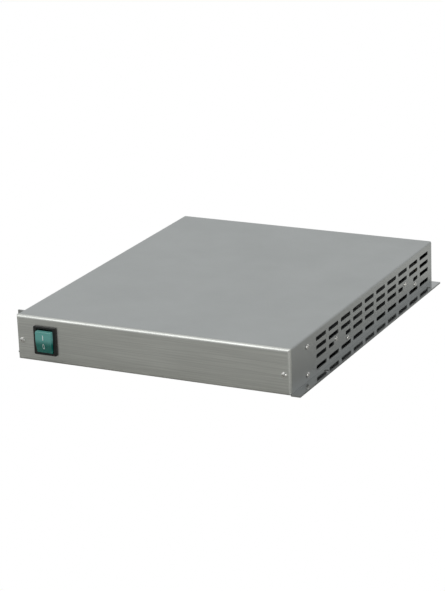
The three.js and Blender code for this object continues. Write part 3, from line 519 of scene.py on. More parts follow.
def spun(bm, steps):
    """Turns all that a bmesh holds, drawn in X and Z, about the Z axis into a closed shape."""
    bmesh.ops.spin(
        bm,
        geom=bm.verts[:] + bm.edges[:],
        cent=(0, 0, 0),
        axis=(0, 0, 1),
        angle=2 * math.pi,
        steps=steps,
        use_merge=True,
    )
    bmesh.ops.remove_doubles(bm, verts=bm.verts, dist=SPIN_MERGE)
    bmesh.ops.recalc_face_normals(bm, faces=bm.faces)
    return bm


def spun_shape(outline, steps=32):
    """A closed shape from an outline of (radius, height) points."""
    bm = bmesh.new()
    verts = [bm.verts.new((radius, 0, height)) for radius, height in outline]
    for pair in zip(verts, verts[1:]):
        bm.edges.new(pair)
    if outline[0][0] > 0:
        bm.edges.new((verts[-1], verts[0]))
    return spun(bm, steps)


def rod(radius, length, segments=12):
    bm = bmesh.new()
    bmesh.ops.create_cone(
        bm, cap_ends=True, segments=segments, radius1=radius, radius2=radius, depth=length
    )
    return bm


def facing(direction, place):
    """The matrix that turns +Z to a direction and moves the origin to a place."""
    turn = Vector(direction).to_track_quat("Z", "Y").to_matrix().to_4x4()
    return Matrix.Translation(place) @ turn


def moved(bm, matrix):
    bmesh.ops.transform(bm, matrix=matrix, verts=bm.verts)
    return bm


def joined(shapes):
    whole = bmesh.new()
    for shape in shapes:
        mesh = bpy.data.meshes.new("joining")
        shape.to_mesh(mesh)
        shape.free()
        whole.from_mesh(mesh)
        bpy.data.meshes.remove(mesh)
    return whole


def carved(bm, tools):
    """Cuts each tool, a closed shape, out of a closed shape."""
    made = []
    for shape in (bm, *tools):
        mesh = bpy.data.meshes.new("carving")
        shape.to_mesh(mesh)
        shape.free()
        made.append(bpy.data.objects.new("carving", mesh))
        bpy.context.scene.collection.objects.link(made[-1])
    for tool in made[1:]:
        cut = made[0].modifiers.new("cut", "BOOLEAN")
        cut.operation, cut.solver, cut.object = "DIFFERENCE", "EXACT", tool
    result = made[0].evaluated_get(bpy.context.evaluated_depsgraph_get()).to_mesh()
    whole = bmesh.new()
    whole.from_mesh(result)
    for each in made:
        mesh = each.data
        bpy.data.objects.remove(each)
        bpy.data.meshes.remove(mesh)
    bmesh.ops.remove_doubles(whole, verts=whole.verts, dist=MERGE)
    return whole


def edges_at(bm, y):
    """The edges that lie wholly at one depth."""
    return [edge for edge in bm.edges if all(abs(vert.co.y - y) < NEAR for vert in edge.verts)]


def middle_of(node):
    low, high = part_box(node)
    return (low + high) / 2


print("bodies of the nodes:", sorted(set(body_of.values())))

# %% [markdown]
# ## Folded sheet: cover, tray, brackets
# A punch leaves slots with small round corners, never sharp ones. The CAD model has square
# corners, because round ones cost many triangles there. So on the copy, each short edge that
# runs through the sheet at a slot's corner is beveled with four segments, which makes an arc.
# Edges of very short sides are left alone, because an arc wouldn't fit there.

# %% Slotted sheet
SLOT_CORNER = 1.3 * MM
ROOM_FOR_ARC = 2.2 * SLOT_CORNER


def slot_corner_edges(bm, wall):
    """The edges through a side wall where two sides of a slot meet at about a right angle."""
    corners = []
    for edge in bm.edges:
        a, b = (vert.co for vert in edge.verts)
        through = abs(a.y - b.y) < NEAR and abs(a.z - b.z) < NEAR
        in_wall = min(abs(a.x), abs(b.x)) > wall and a.x * b.x > 0
        if not (through and in_wall and len(edge.link_faces) == 2):
            continue
        angle = math.degrees(edge.calc_face_angle_signed(0))
        longest = [max(e.calc_length() for e in face.edges) for face in edge.link_faces]
        roomy = min(longest) > ROOM_FOR_ARC
        inside = all(len(face.verts) == 4 for face in edge.link_faces)
        if 60 < abs(angle) < 120 and roomy and inside:
            corners.append(edge)
    return corners


def slotted_piece(node, name, material, wall, keep, lower=0.0):
    """A copy of a slotted sheet with round slot corners; its lower edge may be brought down."""
    bm = node_shape(node)
    corners = [edge for edge in slot_corner_edges(bm, wall) if keep(edge.verts[0].co)]
    rounded(bm, corners, SLOT_CORNER, 4)
    lowest = [vert for vert in bm.verts if abs(vert.co.z - cover_low.z) < NEAR]
    bmesh.ops.translate(bm, vec=(0, 0, -lower), verts=lowest)
    piece = make_piece(bm, name, material, node, edge=0)
    piece.data.shade_flat()
    print(name, len(corners), "slot corners,", len(piece.data.polygons), "faces")


def in_cover_wall(point):
    ends = min(point.y - cover_low.y, cover_high.y - point.y) > 5 * MM
    return ends and point.z - cover_low.z > 2 * MM


def in_tray_tab(point):
    return 4 * MM < point.z < 10 * MM


WALL_ZONE = 1.4 * MM
TAB_ZONE = WALL_ZONE + 2 * MM
TRAY_SHEET = 1.5 * MM
SEAM = 0.02 * MM
lowering = cover_low.z - TRAY_SHEET - SEAM
slotted_piece("top_cover", "cover_shell", satin_steel, cover_high.x - WALL_ZONE, in_cover_wall, lowering)
slotted_piece("base_tray", "tray", tray_zinc, cover_high.x - TAB_ZONE, in_tray_tab)

# %% Plain sheet parts
SHEET_PARTS = {
    "rear_panel": ("rear_plate", satin_steel, 0),
    "front_bracket_left": ("front_corner_bracket_left", tray_zinc, 0),
    "front_bracket_right": ("front_corner_bracket_right", tray_zinc, 0),
    "rear_bracket_left": ("rear_corner_bracket_left", tray_zinc, 0),
    "rear_bracket_right": ("rear_corner_bracket_right", tray_zinc, 0),
    "side_lug": ("lug", satin_steel, EDGE),
    # The strap is black plastic so that it shows dark through the slots: painted shade standing in for the shade
    # inside the case.
    "battery_strap": ("strap", black_plastic, EDGE),
}
for node, (name, material, edge) in SHEET_PARTS.items():
    piece = make_piece(node_shape(node), name, material, node, edge=edge)
    if not edge:
        piece.data.shade_flat()
print("sheet parts:", list(SHEET_PARTS))

# %% [markdown]
# ## Front panel
# The panel is a thick plate with its four front edges well rounded, and that curve carries the
# brightest line on the whole object. The CAD model has five flats there. Here the plate is made
# afresh as a block whose front edges are beveled with twelve segments, and the window and the
# two screw holes are cut through it afterwards, so the curve stays clean.

# %% Front panel
PANEL_EDGE = 3 * MM
WINDOW_FIT = 0.3 * MM
BEZEL_LIP = (1.1 * MM, 0.7 * MM)
CUT_DEPTH = 6 * MM
SCREW_HOLE = 1.8 * MM


def make_front_panel():
    bm = box_shape(panel_low, panel_high)
    rounded(bm, edges_at(bm, panel_low.y), PANEL_EDGE, 12)
    low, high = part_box("switch_housing")
    body = Vector(((high.x - low.x) / 2 - BEZEL_LIP[0], 0, (high.z - low.z) / 2 - BEZEL_LIP[1]))
    reach = body + Vector((WINDOW_FIT, CUT_DEPTH, WINDOW_FIT))
    centre = Vector(((low.x + high.x) / 2, panel_low.y, (low.z + high.z) / 2))
    tools = [box_shape(centre - reach, centre + reach)]
    for screw in ("panel_screw_left", "panel_screw_right"):
        place = middle_of(screw)
        drill = rod(SCREW_HOLE, 5 * CUT_DEPTH, 24)
        tools.append(moved(drill, facing((0, 1, 0), (place.x, panel_low.y, place.z))))
    plate = carved(bm, tools)
    piece = make_piece(plate, "front_plate", panel_aluminium, "front_panel", edge=0.12 * MM)
    print("front plate faces:", len(piece.data.polygons))


make_front_panel()

# %% [markdown]
# ## Screws
# Every fastener is a turned part: a domed head with a cross recess, and a thread. The outline
# is spun about the screw's own axis. The recess is cut with two tapered blades, which a real
# punch would press in. One function makes all of them, and the boxes of the CAD screws say
# where each head sits and which way it looks.

# %% Screw shape
SCREW_SHANK = 1.5 * MM
THREAD_PITCH = 0.7 * MM
THREAD_DEPTH = 0.25 * MM
RECESS_REACH, RECESS_WIDTH = 0.55, 0.12
DOME_STEPS = 6


def thread_outline(radius, start, end):
    """Points of a thread's outline: a crest and a root for each pitch."""
    turns = max(1, round((end - start) / THREAD_PITCH))
    step = (end - start) / turns
    root = radius - THREAD_DEPTH
    points = []
    for turn in range(turns):
        points += [(root, start + turn * step), (radius, start + (turn + 0.5) * step)]
    return points + [(root, end)]


def recess_blades(head, height):
    blades = []
    for turn in (0, math.pi / 2):
        corner = Vector((RECESS_REACH * head, RECESS_WIDTH * head, 1.3 * height))
        blade = box_shape((-corner.x, -corner.y, 0.35 * height), corner)
        foot = [vert for vert in blade.verts if vert.co.z < 0.5 * height]
        bmesh.ops.scale(blade, vec=(0.45, 0.7, 1), verts=foot)
        blades.append(moved(blade, Matrix.Rotation(turn + math.pi / 4, 4, "Z")))
    return blades


def screw_shape(length, head, height):
    angles = [math.pi / 2 * i / DOME_STEPS for i in range(DOME_STEPS)]
    dome = [(head * math.cos(a), height * (0.3 + 0.7 * math.sin(a))) for a in angles]
    thread = thread_outline(SCREW_SHANK, 0.6 * MM - length, -0.8 * MM)
    outline = [(0, -length), (SCREW_SHANK * 0.6, -length), *thread, (SCREW_SHANK * 0.9, 0)]
    outline += [(head * 0.96, 0), (head, height * 0.08), *dome, (0, height)]
    return carved(spun_shape(outline, steps=28), recess_blades(head, height))


# %% Screws in their places
HEADS = {"panel": (2.8, 1.7), "cover": (2.8, 1.7), "rear": (2.8, 1.7), "tab": (2.3, 1.1)}
DIRECTIONS = {"front": (0, -1, 0), "rear": (0, 1, 0), "left": (-1, 0, 0), "right": (1, 0, 0)}


def place_screw(node):
    kind, side = node.split("_")[0], node.split("_")[2]
    looks = Vector(DIRECTIONS[{"panel": "front", "rear": "rear"}.get(kind, side)])
    head, height = (size * MM for size in HEADS[kind])
    low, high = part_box(node)
    span = abs(looks.dot(high - low))
    outer = (low + high) / 2 + looks * (span / 2)
    shape = moved(screw_shape(span - height, head, height), facing(looks, outer - looks * height))
    make_piece(shape, node.replace("screw", "fastener"), nickel, node, edge=0, smooth=40)


screws = [node for node in sorted(frame["nodes"]) if "_screw_" in node]
for node in screws:
    place_screw(node)
print("screws:", len(screws))

# %% [markdown]
# ## Rocker switch
# The housing is one black moulding: a bezel that laps over the panel, and a box behind it. Its
# copy gets rounder corners. The rocker is a crowned paddle on two pins. It could be cut from a
# block, but a strip drawn along its side outline and pushed across its width keeps the crown
# one smooth curve. Its two marks are thin printed strokes: a bar above and a ring below.

# %% Switch housing
BEZEL_CORNER = 1.3 * MM
BEZEL_EDGE = 0.35 * MM


def make_housing():
    bm = node_shape("switch_housing")
    low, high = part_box("switch_housing")
    rim = [
        e
        for e in bm.edges
        if abs(e.verts[0].co.x - e.verts[1].co.x) < NEAR
        and abs(e.verts[0].co.z - e.verts[1].co.z) < NEAR
        and all(min(v.co.x - low.x, high.x - v.co.x) < NEAR for v in e.verts)
        and all(v.co.y < panel_low.y for v in e.verts)
    ]
    rounded(bm, rim, BEZEL_CORNER, 6)
    front = [edge for edge in edges_at(bm, low.y) if edge.calc_face_angle(0) > math.radians(35)]
    rounded(bm, front, BEZEL_EDGE, 3)
    make_piece(bm, "switch_case", black_plastic, "switch_housing", edge=0, smooth=20)
    print("bezel corners rounded:", len(rim))


make_housing()

# %% Rocker
rocker_joint = next(joint for joint in frame["joints"] if joint["name"] == "rocker_tilt")
PIVOT = Vector(rocker_joint["pos_m"])
HALF_TRAVEL = math.radians(rocker_joint["range_deg"][1] / 2)
PIN_REACH = 1 * MM
PIN_RADIUS = 1.15 * MM
PIN_STEPS = 24
CROWN = 1.4 * MM
CROWN_STEPS = 14
KEEL_SHARE = 0.37
PRINT_ROOM = 0.03 * MM
SKIRT = 3.8 * MM
PADDLE_EDGE = 0.7 * MM
to_rest = Matrix.Translation(PIVOT) @ Matrix.Rotation(HALF_TRAVEL, 4, "X")


def rocker_box():
    """Low and high corner of the CAD rocker, turned level, with its pivot at the origin."""
    points = [to_rest.inverted() @ v.co for v in frame["nodes"]["switch_rocker"].data.vertices]
    axes = [[point[axis] for point in points] for axis in range(3)]
    return Vector(min(a) for a in axes), Vector(max(a) for a in axes)


level_low, level_high = rocker_box()
half_width = level_high.x - PIN_REACH
half_length = level_high.z
face_ends = level_low.y + CROWN + PRINT_ROOM


def crown_at(z):
    """How far forward the rocker's face is at a height."""
    return face_ends - CROWN * (1 - (z / half_length) ** 2)


def make_rocker():
    heights = [half_length * (2 * i / CROWN_STEPS - 1) for i in range(CROWN_STEPS + 1)]
    outline = [(crown_at(z), z) for z in heights]
    keel, keel_end = level_high.y, half_length * KEEL_SHARE
    outline += [(face_ends + SKIRT, half_length), (keel, keel_end), (keel, -keel_end)]
    outline += [(face_ends + SKIRT, -half_length)]
    bm = bmesh.new()
    side = bm.faces.new([bm.verts.new((-half_width, y, z)) for y, z in outline])
    pushed = bmesh.ops.extrude_face_region(bm, geom=[side])["geom"]
    bmesh.ops.translate(
        bm, vec=(2 * half_width, 0, 0), verts=[v for v in pushed if isinstance(v, bmesh.types.BMVert)]
    )
    bmesh.ops.recalc_face_normals(bm, faces=bm.faces)
    pins = moved(rod(PIN_RADIUS, 2 * level_high.x, PIN_STEPS), Matrix.Rotation(math.pi / 2, 4, "Y"))
    shape = moved(joined([bm, pins]), to_rest)
    make_piece(shape, "rocker_paddle", green_lens, "switch_rocker", edge=PADDLE_EDGE, segments=4, smooth=25)
    print("rocker:", [round(size / MM, 2) for size in level_high - level_low], "mm")


make_rocker()

# %% Rocker marks
MARK_LIFT = 0.02 * MM
MARK_THICKNESS = 0.05 * MM


def lay_on_crown(bm):
    """Bends a flat mark drawn in X and Z onto the rocker's crowned face."""
    for vert in bm.verts:
        vert.co.y += crown_at(vert.co.z) - MARK_LIFT
    return moved(bm, to_rest)


def bar_mark():
    width, low, high = 0.9 * MM, half_length * 0.28, half_length * 0.72
    bm = bmesh.new()
    bmesh.ops.create_grid(bm, x_segments=1, y_segments=8, size=0.5)
    stand = Matrix.Translation((0, 0, (low + high) / 2)) @ Matrix.Rotation(math.pi / 2, 4, "X")
    bmesh.ops.transform(bm, matrix=stand @ Matrix.Diagonal((width, high - low, 1, 1)), verts=bm.verts)
    return bm


def ring_mark():
    bm = bmesh.new()
    outer, inner = 2.1 * MM, 1.45 * MM
    bmesh.ops.create_circle(bm, segments=32, radius=outer)
    rim = list(bm.edges)
    made = bmesh.ops.extrude_edge_only(bm, edges=rim)["geom"]
    inside = [v for v in made if isinstance(v, bmesh.types.BMVert)]
    bmesh.ops.scale(bm, vec=(inner / outer, inner / outer, 1), verts=inside)
    stand = Matrix.Translation((0, 0, -half_length * 0.32)) @ Matrix.Rotation(math.pi / 2, 4, "X")
    bmesh.ops.transform(bm, matrix=stand @ Matrix.Diagonal((0.5, 1.3, 1, 1)), verts=bm.verts)
    return bm


for name, mark in (("mark_bar", bar_mark()), ("mark_ring", ring_mark())):
    mark = lay_on_crown(mark)
    bmesh.ops.recalc_face_normals(mark, faces=mark.faces)
    bmesh.ops.solidify(mark, geom=list(mark.faces), thickness=MARK_THICKNESS)
    bmesh.ops.recalc_face_normals(mark, faces=mark.faces)
    add_detail(mark, name, white_mark, "switch_rocker")
print("marks: bar above, ring below")

# %% [markdown]
# ## Lamp and terminals of the switch
# Behind the rocker lies a small neon lamp: a glass tube with rounded ends and two wire
# electrodes. The blade terminals are cut from brass sheet, so their copies only need an edge.

# %% Lamp and terminals
ELECTRODE = 0.25 * MM


def tube_with_round_ends(radius, half, steps=5):
    quarter = [math.pi / 2 * i / steps for i in range(steps + 1)]
    lower = [(radius * math.sin(a), -half + radius * (1 - math.cos(a))) for a in quarter]
    return lower + [(r, -h) for r, h in reversed(lower)]


def make_lamp():
    low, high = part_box("switch_lamp")
    half, radius = (high.x - low.x) / 2, (high.z - low.z) / 2
    place = facing((1, 0, 0), middle_of("switch_lamp"))
    bulb = spun_shape(tube_with_round_ends(radius, half), steps=24)
    make_piece(moved(bulb, place), "neon_bulb", amber_glass, "switch_lamp", edge=0)
    wires = []
    start, end = -half * 0.9, half * 0.5
    for side in (-1, 1):
        outline = [(0, start), (ELECTRODE, start), (ELECTRODE, end), (0, end)]
        beside = Matrix.Translation((side * radius * 0.4, 0, 0))
        wires.append(moved(spun_shape(outline, 12), place @ beside))
    add_detail(joined(wires), "neon_electrodes", nickel, "switch_lamp", slot="nickel")


make_lamp()
for node in ("switch_terminal_upper", "switch_terminal_lower"):
    make_piece(node_shape(node), node.replace("terminal", "blade"), brass, node, edge=0.15 * MM)
print("lamp and blades made")

# %% [markdown]
# ## Fan
# The frame is a square moulding round a duct, with the motor's plate on struts. The rotor is a
# cup with curved blades. A blade is a flat grid that is wrapped round the axis, steeper at the
# hub than at the tip as on a real impeller, and then given its thickness. Flat slanted plates
# would be quicker and would look like a paddle wheel.

# %% Fan frame and rotor
fan_low, fan_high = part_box("fan_frame")
rotor_low, rotor_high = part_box("fan_rotor")
fan_axis = Vector(((fan_low.x + fan_high.x) / 2, 0, (fan_low.z + fan_high.z) / 2))
HUB_RADIUS = 9 * MM
BLADE_COUNT = 7
BLADE_TIP = 17.2 * MM
HUB_FRONT = -16 * MM
HUB_REAR = -1.5 * MM


def make_blade():
    chord, thickness = 13 * MM, 1.0 * MM
    bm = bmesh.new()
    bmesh.ops.create_grid(bm, x_segments=8, y_segments=5, size=0.5)
    for vert in bm.verts:
        along, out = vert.co.x, vert.co.y + 0.5
        radius = HUB_RADIUS - 0.6 * MM + out * (BLADE_TIP - HUB_RADIUS + 0.6 * MM)
        pitch = math.radians(58 - 20 * out)
        camber = 0.08 * chord * (1 - 4 * along * along)
        around = (along * chord * math.cos(pitch) + camber) / radius
        depth = (HUB_FRONT + HUB_REAR) / 2 + along * chord * math.sin(pitch) * 0.95
        vert.co = (radius * math.cos(around), radius * math.sin(around), depth)
    bmesh.ops.recalc_face_normals(bm, faces=bm.faces)
    bmesh.ops.solidify(bm, geom=list(bm.faces), thickness=thickness)
    bmesh.ops.recalc_face_normals(bm, faces=bm.faces)
    return bm


def make_rotor():
    hub = [(0, HUB_FRONT), (HUB_RADIUS, HUB_FRONT), (HUB_RADIUS, HUB_REAR - 1.2 * MM)]
    hub += [(HUB_RADIUS - 0.4 * MM, HUB_REAR - 0.4 * MM), (HUB_RADIUS - 1.2 * MM, HUB_REAR)]
    hub += [(3 * MM, HUB_REAR), (2.6 * MM, HUB_REAR - 0.5 * MM), (0, HUB_REAR - 0.5 * MM)]
    shaft_end = rotor_low.y - rotor_high.y + HUB_REAR
    shaft = [(0, shaft_end), (1.4 * MM, shaft_end), (1.4 * MM, HUB_FRONT), (0, HUB_FRONT)]
    blades = []
    for i in range(BLADE_COUNT):
        blades.append(moved(make_blade(), Matrix.Rotation(2 * math.pi * i / BLADE_COUNT, 4, "Z")))
    place = facing((0, 1, 0), (fan_axis.x, rotor_high.y - HUB_REAR, fan_axis.z))
    shape = moved(joined([spun_shape(hub, 40), *blades]), place)
    make_piece(shape, "impeller", black_plastic, "fan_rotor", edge=0, smooth=40)
    spindle = moved(spun_shape(shaft, 20), place)
    add_detail(spindle, "impeller_shaft", nickel, "fan_rotor", slot="nickel")


make_piece(node_shape("fan_frame"), "fan_housing", black_plastic, "fan_frame", edge=0.3 * MM)
make_rotor()
print("fan axis at", [round(c / MM, 1) for c in fan_axis], "mm")

# %% [markdown]
# ## Finger guard
# The guard is bright wire: rings welded onto two crossed bars whose ends are bent into eyes for
# the screws. Each ring is a small circle spun round the fan's axis.

# %% Finger guard
guard_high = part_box("fan_guard")[1]
WIRE = 0.9 * MM
RING_RADII = [17.9 * MM, 12.4 * MM, 6.9 * MM]
EYE_RADIUS = 2.5 * MM
SCREW_CORNER = 16 * MM
GUARD_SCREW = 9 * MM
GUARD_HEAD = (2.8 * MM, 1.7 * MM)
wire_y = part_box("rear_panel")[1].y + 0.2 * MM + WIRE


def wire_ring(radius, wire=WIRE, steps=56, sides=10):
    bm = bmesh.new()
    across = Matrix.Translation((radius, 0, 0)) @ Matrix.Rotation(math.pi / 2, 4, "X")
    bmesh.ops.create_circle(bm, segments=sides, radius=wire, matrix=across)
    return spun(bm, steps)


def make_guard():
    place = facing((0, 1, 0), (fan_axis.x, wire_y, fan_axis.z))
    parts = [wire_ring(radius) for radius in RING_RADII]
    reach = 2 * (SCREW_CORNER * math.sqrt(2) - EYE_RADIUS)
    fasteners = []
    for turn in (math.pi / 4, 3 * math.pi / 4):
        lying = Matrix.Rotation(turn, 4, "Z") @ Matrix.Rotation(math.pi / 2, 4, "Y")
        parts.append(moved(rod(WIRE, reach), lying))
    for i in range(4):
        around = Matrix.Rotation(math.pi / 2 * i, 4, "Z")
        corner = around @ Matrix.Translation((SCREW_CORNER, SCREW_CORNER, 0))
        parts.append(moved(wire_ring(EYE_RADIUS, steps=24), corner))
        screw = screw_shape(GUARD_SCREW, *GUARD_HEAD)
        fasteners.append(moved(screw, place @ corner @ Matrix.Translation((0, 0, WIRE))))
    make_piece(moved(joined(parts), place), "finger_guard", nickel, "fan_guard", edge=0, smooth=50)
    add_detail(joined(fasteners), "guard_screws", nickel, "fan_guard", smooth=40)
    print("guard reaches", round((guard_high.y - wire_y) / MM, 2), "mm past the wire's middle")


make_guard()

# %% [markdown]
# ## Mains inlet, fuse drawer and outlets
# These are black mouldings with rounded corners. The pins of the inlet are plated blades with
# chamfered tips; they sleeve the plain pins of the moulding. Inside each slot of an outlet
# stand two sprung leaves of tinned metal, which show as a glint when one looks in.

# %% Mouldings at the rear
MOULDINGS = {"power_inlet": "inlet_body", "fuse_drawer": "drawer"}
MOULDINGS.update({f"outlet_{i}": f"socket_{i}" for i in (1, 2, 3)})
for node, name in MOULDINGS.items():
    make_piece(node_shape(node), name, black_plastic, node, edge=0.35 * MM, segments=3)
print("mouldings:", list(MOULDINGS.values()))

# %% Pins and contacts
PIN_PITCH = 7 * MM
PIN_RISE = 2 * MM
PIN_SIZE = (2.1 * MM, 4.1 * MM)
SLOT_SIZE = (2.6 * MM, 4.6 * MM)
CAVITY_MIDDLE_ABOVE_LOW = 10.6 * MM
inlet_low, inlet_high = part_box("power_inlet")
socket_face = inlet_high.y
inlet_body_low = (inlet_low.z + inlet_high.z) / 2 - 15.5 * MM


def pin_places(x, z):
    return [(x + step * PIN_PITCH, z + (PIN_RISE if step == 0 else -PIN_RISE)) for step in (-1, 0, 1)]


def make_pins():
    x = (inlet_low.x + inlet_high.x) / 2
    z = inlet_body_low + CAVITY_MIDDLE_ABOVE_LOW
    pins = []
    for px, pz in pin_places(x, z):
        low = (px - PIN_SIZE[0] / 2, socket_face - 16 * MM, pz - PIN_SIZE[1] / 2)
        high = (px + PIN_SIZE[0] / 2, socket_face - 2.4 * MM, pz + PIN_SIZE[1] / 2)
        pin = box_shape(low, high)
        rounded(pin, edges_at(pin, high[1]), 0.6 * MM, 2)
        pins.append(pin)
    add_detail(joined(pins), "inlet_pins", nickel, "power_inlet", edge=0.1 * MM, slot="nickel")


def make_contacts(node):
    low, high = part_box(node)
    leaves = []
    for px, pz in pin_places((low.x + high.x) / 2, (low.z + high.z) / 2):
        for side in (-1, 1):
            x = px + side * (SLOT_SIZE[0] / 2 - 0.3 * MM)
            leaf = box_shape(
                (x - 0.2 * MM, socket_face - 13.5 * MM, pz - 1.8 * MM),
                (x + 0.2 * MM, socket_face - 3 * MM, pz + 1.8 * MM),
            )
            mouth = [v for v in leaf.verts if v.co.y > socket_face - 4 * MM]
            bmesh.ops.scale(leaf, vec=(0.6, 1, 0.8), space=Matrix.Translation((-x, 0, -pz)), verts=mouth)
            leaves.append(leaf)
    name = node.replace("outlet", "contacts")
    add_detail(joined(leaves), name, tin, node, slot="nickel")


make_pins()
for node in ("outlet_1", "outlet_2", "outlet_3"):
    make_contacts(node)
print("inlet pins and outlet contacts made")

# %% Fuse
def make_fuse():
    low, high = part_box("fuse")
    half, radius = (high.x - low.x) / 2, (high.z - low.z) / 2
    place = facing((1, 0, 0), middle_of("fuse"))
    bore, skin, end = radius * 0.72, radius * 0.92, half * 0.9
    tube = [(bore, -end), (skin, -end), (skin, end), (bore, end)]
    make_piece(moved(spun_shape(tube, 28), place), "fuse_tube", clear_glass, "fuse", edge=0)
    ends = []
    for side in (-1, 1):
        cap = [(0, half * 0.72), (radius * 0.98, half * 0.72), (radius, half * 0.75)]
        cap += [(radius, half * 0.97), (radius * 0.9, half), (0, half)]
        ends.append(moved(spun_shape(cap, 28), Matrix.Rotation(0 if side > 0 else math.pi, 4, "X")))
    wire = rod(0.15 * MM, half * 1.6, 8)
    metal = moved(joined([*ends, wire]), place)
    add_detail(metal, "fuse_caps", nickel, "fuse", slot="nickel")


make_fuse()
print("fuse made")

# %% [markdown]
# ## Breaker and earth stud
# Both stick out through the rear panel on a thread. A thread could be a true helix, but at this
# size rings with the same pitch look the same and stay a simple turned shape. The nuts keep
# their six sides and get the chamfer that a real nut has.

# %% Breaker
BREAKER_NECK = 5.6 * MM
neck_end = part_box("breaker_body")[1].y
nut_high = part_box("breaker_nut")[1].y
button_low, button_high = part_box("breaker_button")
breaker_axis = middle_of("breaker_button")


def thread_sleeve(radius, bore, start, end, axis):
    """A threaded sleeve round a plain shank, along +Y."""
    outline = thread_outline(radius, 0, end - start)
    outline = [(bore, 0), *outline, (bore, end - start)]
    return moved(spun_shape(outline, 36), facing((0, 1, 0), (axis.x, start, axis.z)))


def make_button():
    radius, length = (button_high.x - button_low.x) / 2, button_high.y - button_low.y
    profile = [(0, 0), (radius, 0), (radius, length - 0.8 * MM)]
    profile += [(radius - 0.3 * MM, length - 0.25 * MM), (radius - 0.9 * MM, length)]
    profile += [(1.6 * MM, length), (1.2 * MM, length - 0.25 * MM), (0, length - 0.35 * MM)]
    place = facing((0, 1, 0), (breaker_axis.x, button_low.y, breaker_axis.z))
    cap = moved(spun_shape(profile, 32), place)
    make_piece(cap, "reset_cap", black_plastic, "breaker_button", edge=0)


case = node_shape("breaker_body")
make_piece(case, "breaker_case", black_plastic, "breaker_body", edge=0.3 * MM, segments=3)
crest, bore = BREAKER_NECK + 0.12 * MM, BREAKER_NECK - 0.3 * MM
sleeve = thread_sleeve(crest, bore, nut_high, neck_end - 0.3 * MM, breaker_axis)
add_detail(sleeve, "breaker_thread", black_plastic, "breaker_body")
make_piece(node_shape("breaker_nut"), "breaker_ring_nut", nickel, "breaker_nut", edge=0.4 * MM)
make_button()
print("breaker made")

# %% Earth stud
STUD_RADIUS = 2.5 * MM
stud_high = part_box("earth_stud")[1]
stud_nut_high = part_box("earth_nut")[1]
stud_axis = middle_of("earth_nut")
make_piece(node_shape("earth_stud"), "ground_stud", brass, "earth_stud", edge=0.25 * MM)
crest, bore = STUD_RADIUS + 0.2 * MM, STUD_RADIUS - 0.5 * MM
sleeve = thread_sleeve(crest, bore, stud_nut_high.y, stud_high.y - 0.6 * MM, stud_axis)
add_detail(sleeve, "ground_stud_thread", brass, "earth_stud")
make_piece(node_shape("earth_nut"), "ground_nut", brass, "earth_nut", edge=0.4 * MM)
print("earth stud made")

# %% [markdown]
# ## Batteries
# A sealed battery is a matt box with a welded lid. The weld shows as a shallow groove all
# round, near the end where the terminals are. It could be a line in the material, but a real
# groove also shows from the side: the copy is cut by a plane there, the cut is beveled into
# three parallel lines, and the middle one is pulled in. The terminals are tinned blades.

# %% Batteries
TERMINAL_REACH = 5 * MM
TERMINAL_LIFT = 0.08 * MM
LID_HEIGHT = 12 * MM
GROOVE = 0.8 * MM
GROOVE_PULL = 0.6
CASE_CORNER = 2 * MM
BLADE_HALF = Vector((0, 3.2 * MM, 0.45 * MM))
BLADE_ROOT = 0.5 * MM


def make_battery(node):
    low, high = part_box(node)
    case_low = Vector((low.x + TERMINAL_REACH, low.y, low.z))
    bm = box_shape(case_low, high)
    corners = [e for e in bm.edges if abs(e.verts[0].co.x - e.verts[1].co.x) > 1 * MM]
    rounded(bm, corners, CASE_CORNER, 5)
    seam_x = case_low.x + LID_HEIGHT
    middle = (case_low + high) / 2
    for shift, pull in ((-GROOVE, 0), (0, GROOVE), (GROOVE, 0)):
        geometry = bm.verts[:] + bm.edges[:] + bm.faces[:]
        plane = {"plane_co": (seam_x + shift, 0, 0), "plane_no": (1, 0, 0)}
        cut = bmesh.ops.bisect_plane(bm, geom=geometry, **plane)
        line = [v for v in cut["geom_cut"] if isinstance(v, bmesh.types.BMVert)]
        for vert in line:
            outward = Vector((0, vert.co.y - middle.y, vert.co.z - middle.z)).normalized()
            vert.co -= outward * pull * GROOVE_PULL
    name = node.replace("battery", "sealed_battery")
    make_piece(bm, name, battery_case, node, edge=0.4 * MM, smooth=50)
    blades = []
    for blade_y in blade_middles(node):
        tip = Vector((low.x - TERMINAL_LIFT, blade_y, middle.z))
        root = Vector((case_low.x + BLADE_ROOT, blade_y, middle.z))
        blades.append(box_shape(tip - BLADE_HALF, root + BLADE_HALF))
    name = node.replace("battery", "battery_blades")
    add_detail(joined(blades), name, tin, node, edge=0.12 * MM, slot="nickel")


def blade_middles(node):
    """The middles of the terminals along Y, from the CAD battery's own outermost points."""
    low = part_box(node)[0]
    tips = sorted(v.co.y for v in frame["nodes"][node].data.vertices if v.co.x < low.x + 0.1 * MM)
    gap = max(range(1, len(tips)), key=lambda i: tips[i] - tips[i - 1])
    return [(group[0] + group[-1]) / 2 for group in (tips[:gap], tips[gap:])]


for node in ("battery_front", "battery_rear"):
    make_battery(node)
print("battery terminals at Y", [round(y / MM) for y in blade_middles("battery_front")], "mm")

# %% [markdown]
# ## Circuit board
# The board carries the power parts that the CAD model places, and a crowd of small ones that
# only matter to the eye: resistors and chips. They are laid out by a seeded random draw on the
# free strip beside the transformer, so the layout is the same at each run.

# %% Board and small parts
board_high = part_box("main_board")[1]
core_low, core_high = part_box("transformer_core")
sink_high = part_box("heatsink")[1]
SMALL_PARTS = 14
CHIP_PLACES = (4, 9)
PIN_STEP = 2.54


def resistor(place):
    lying = facing((0, 1, 0), place + Vector((0, 0, 1.3 * MM)))
    barrel = spun_shape(tube_with_round_ends(1.2 * MM, 3.2 * MM, 3), 14)
    return moved(barrel, lying), moved(rod(0.3 * MM, 10 * MM, 8), lying)


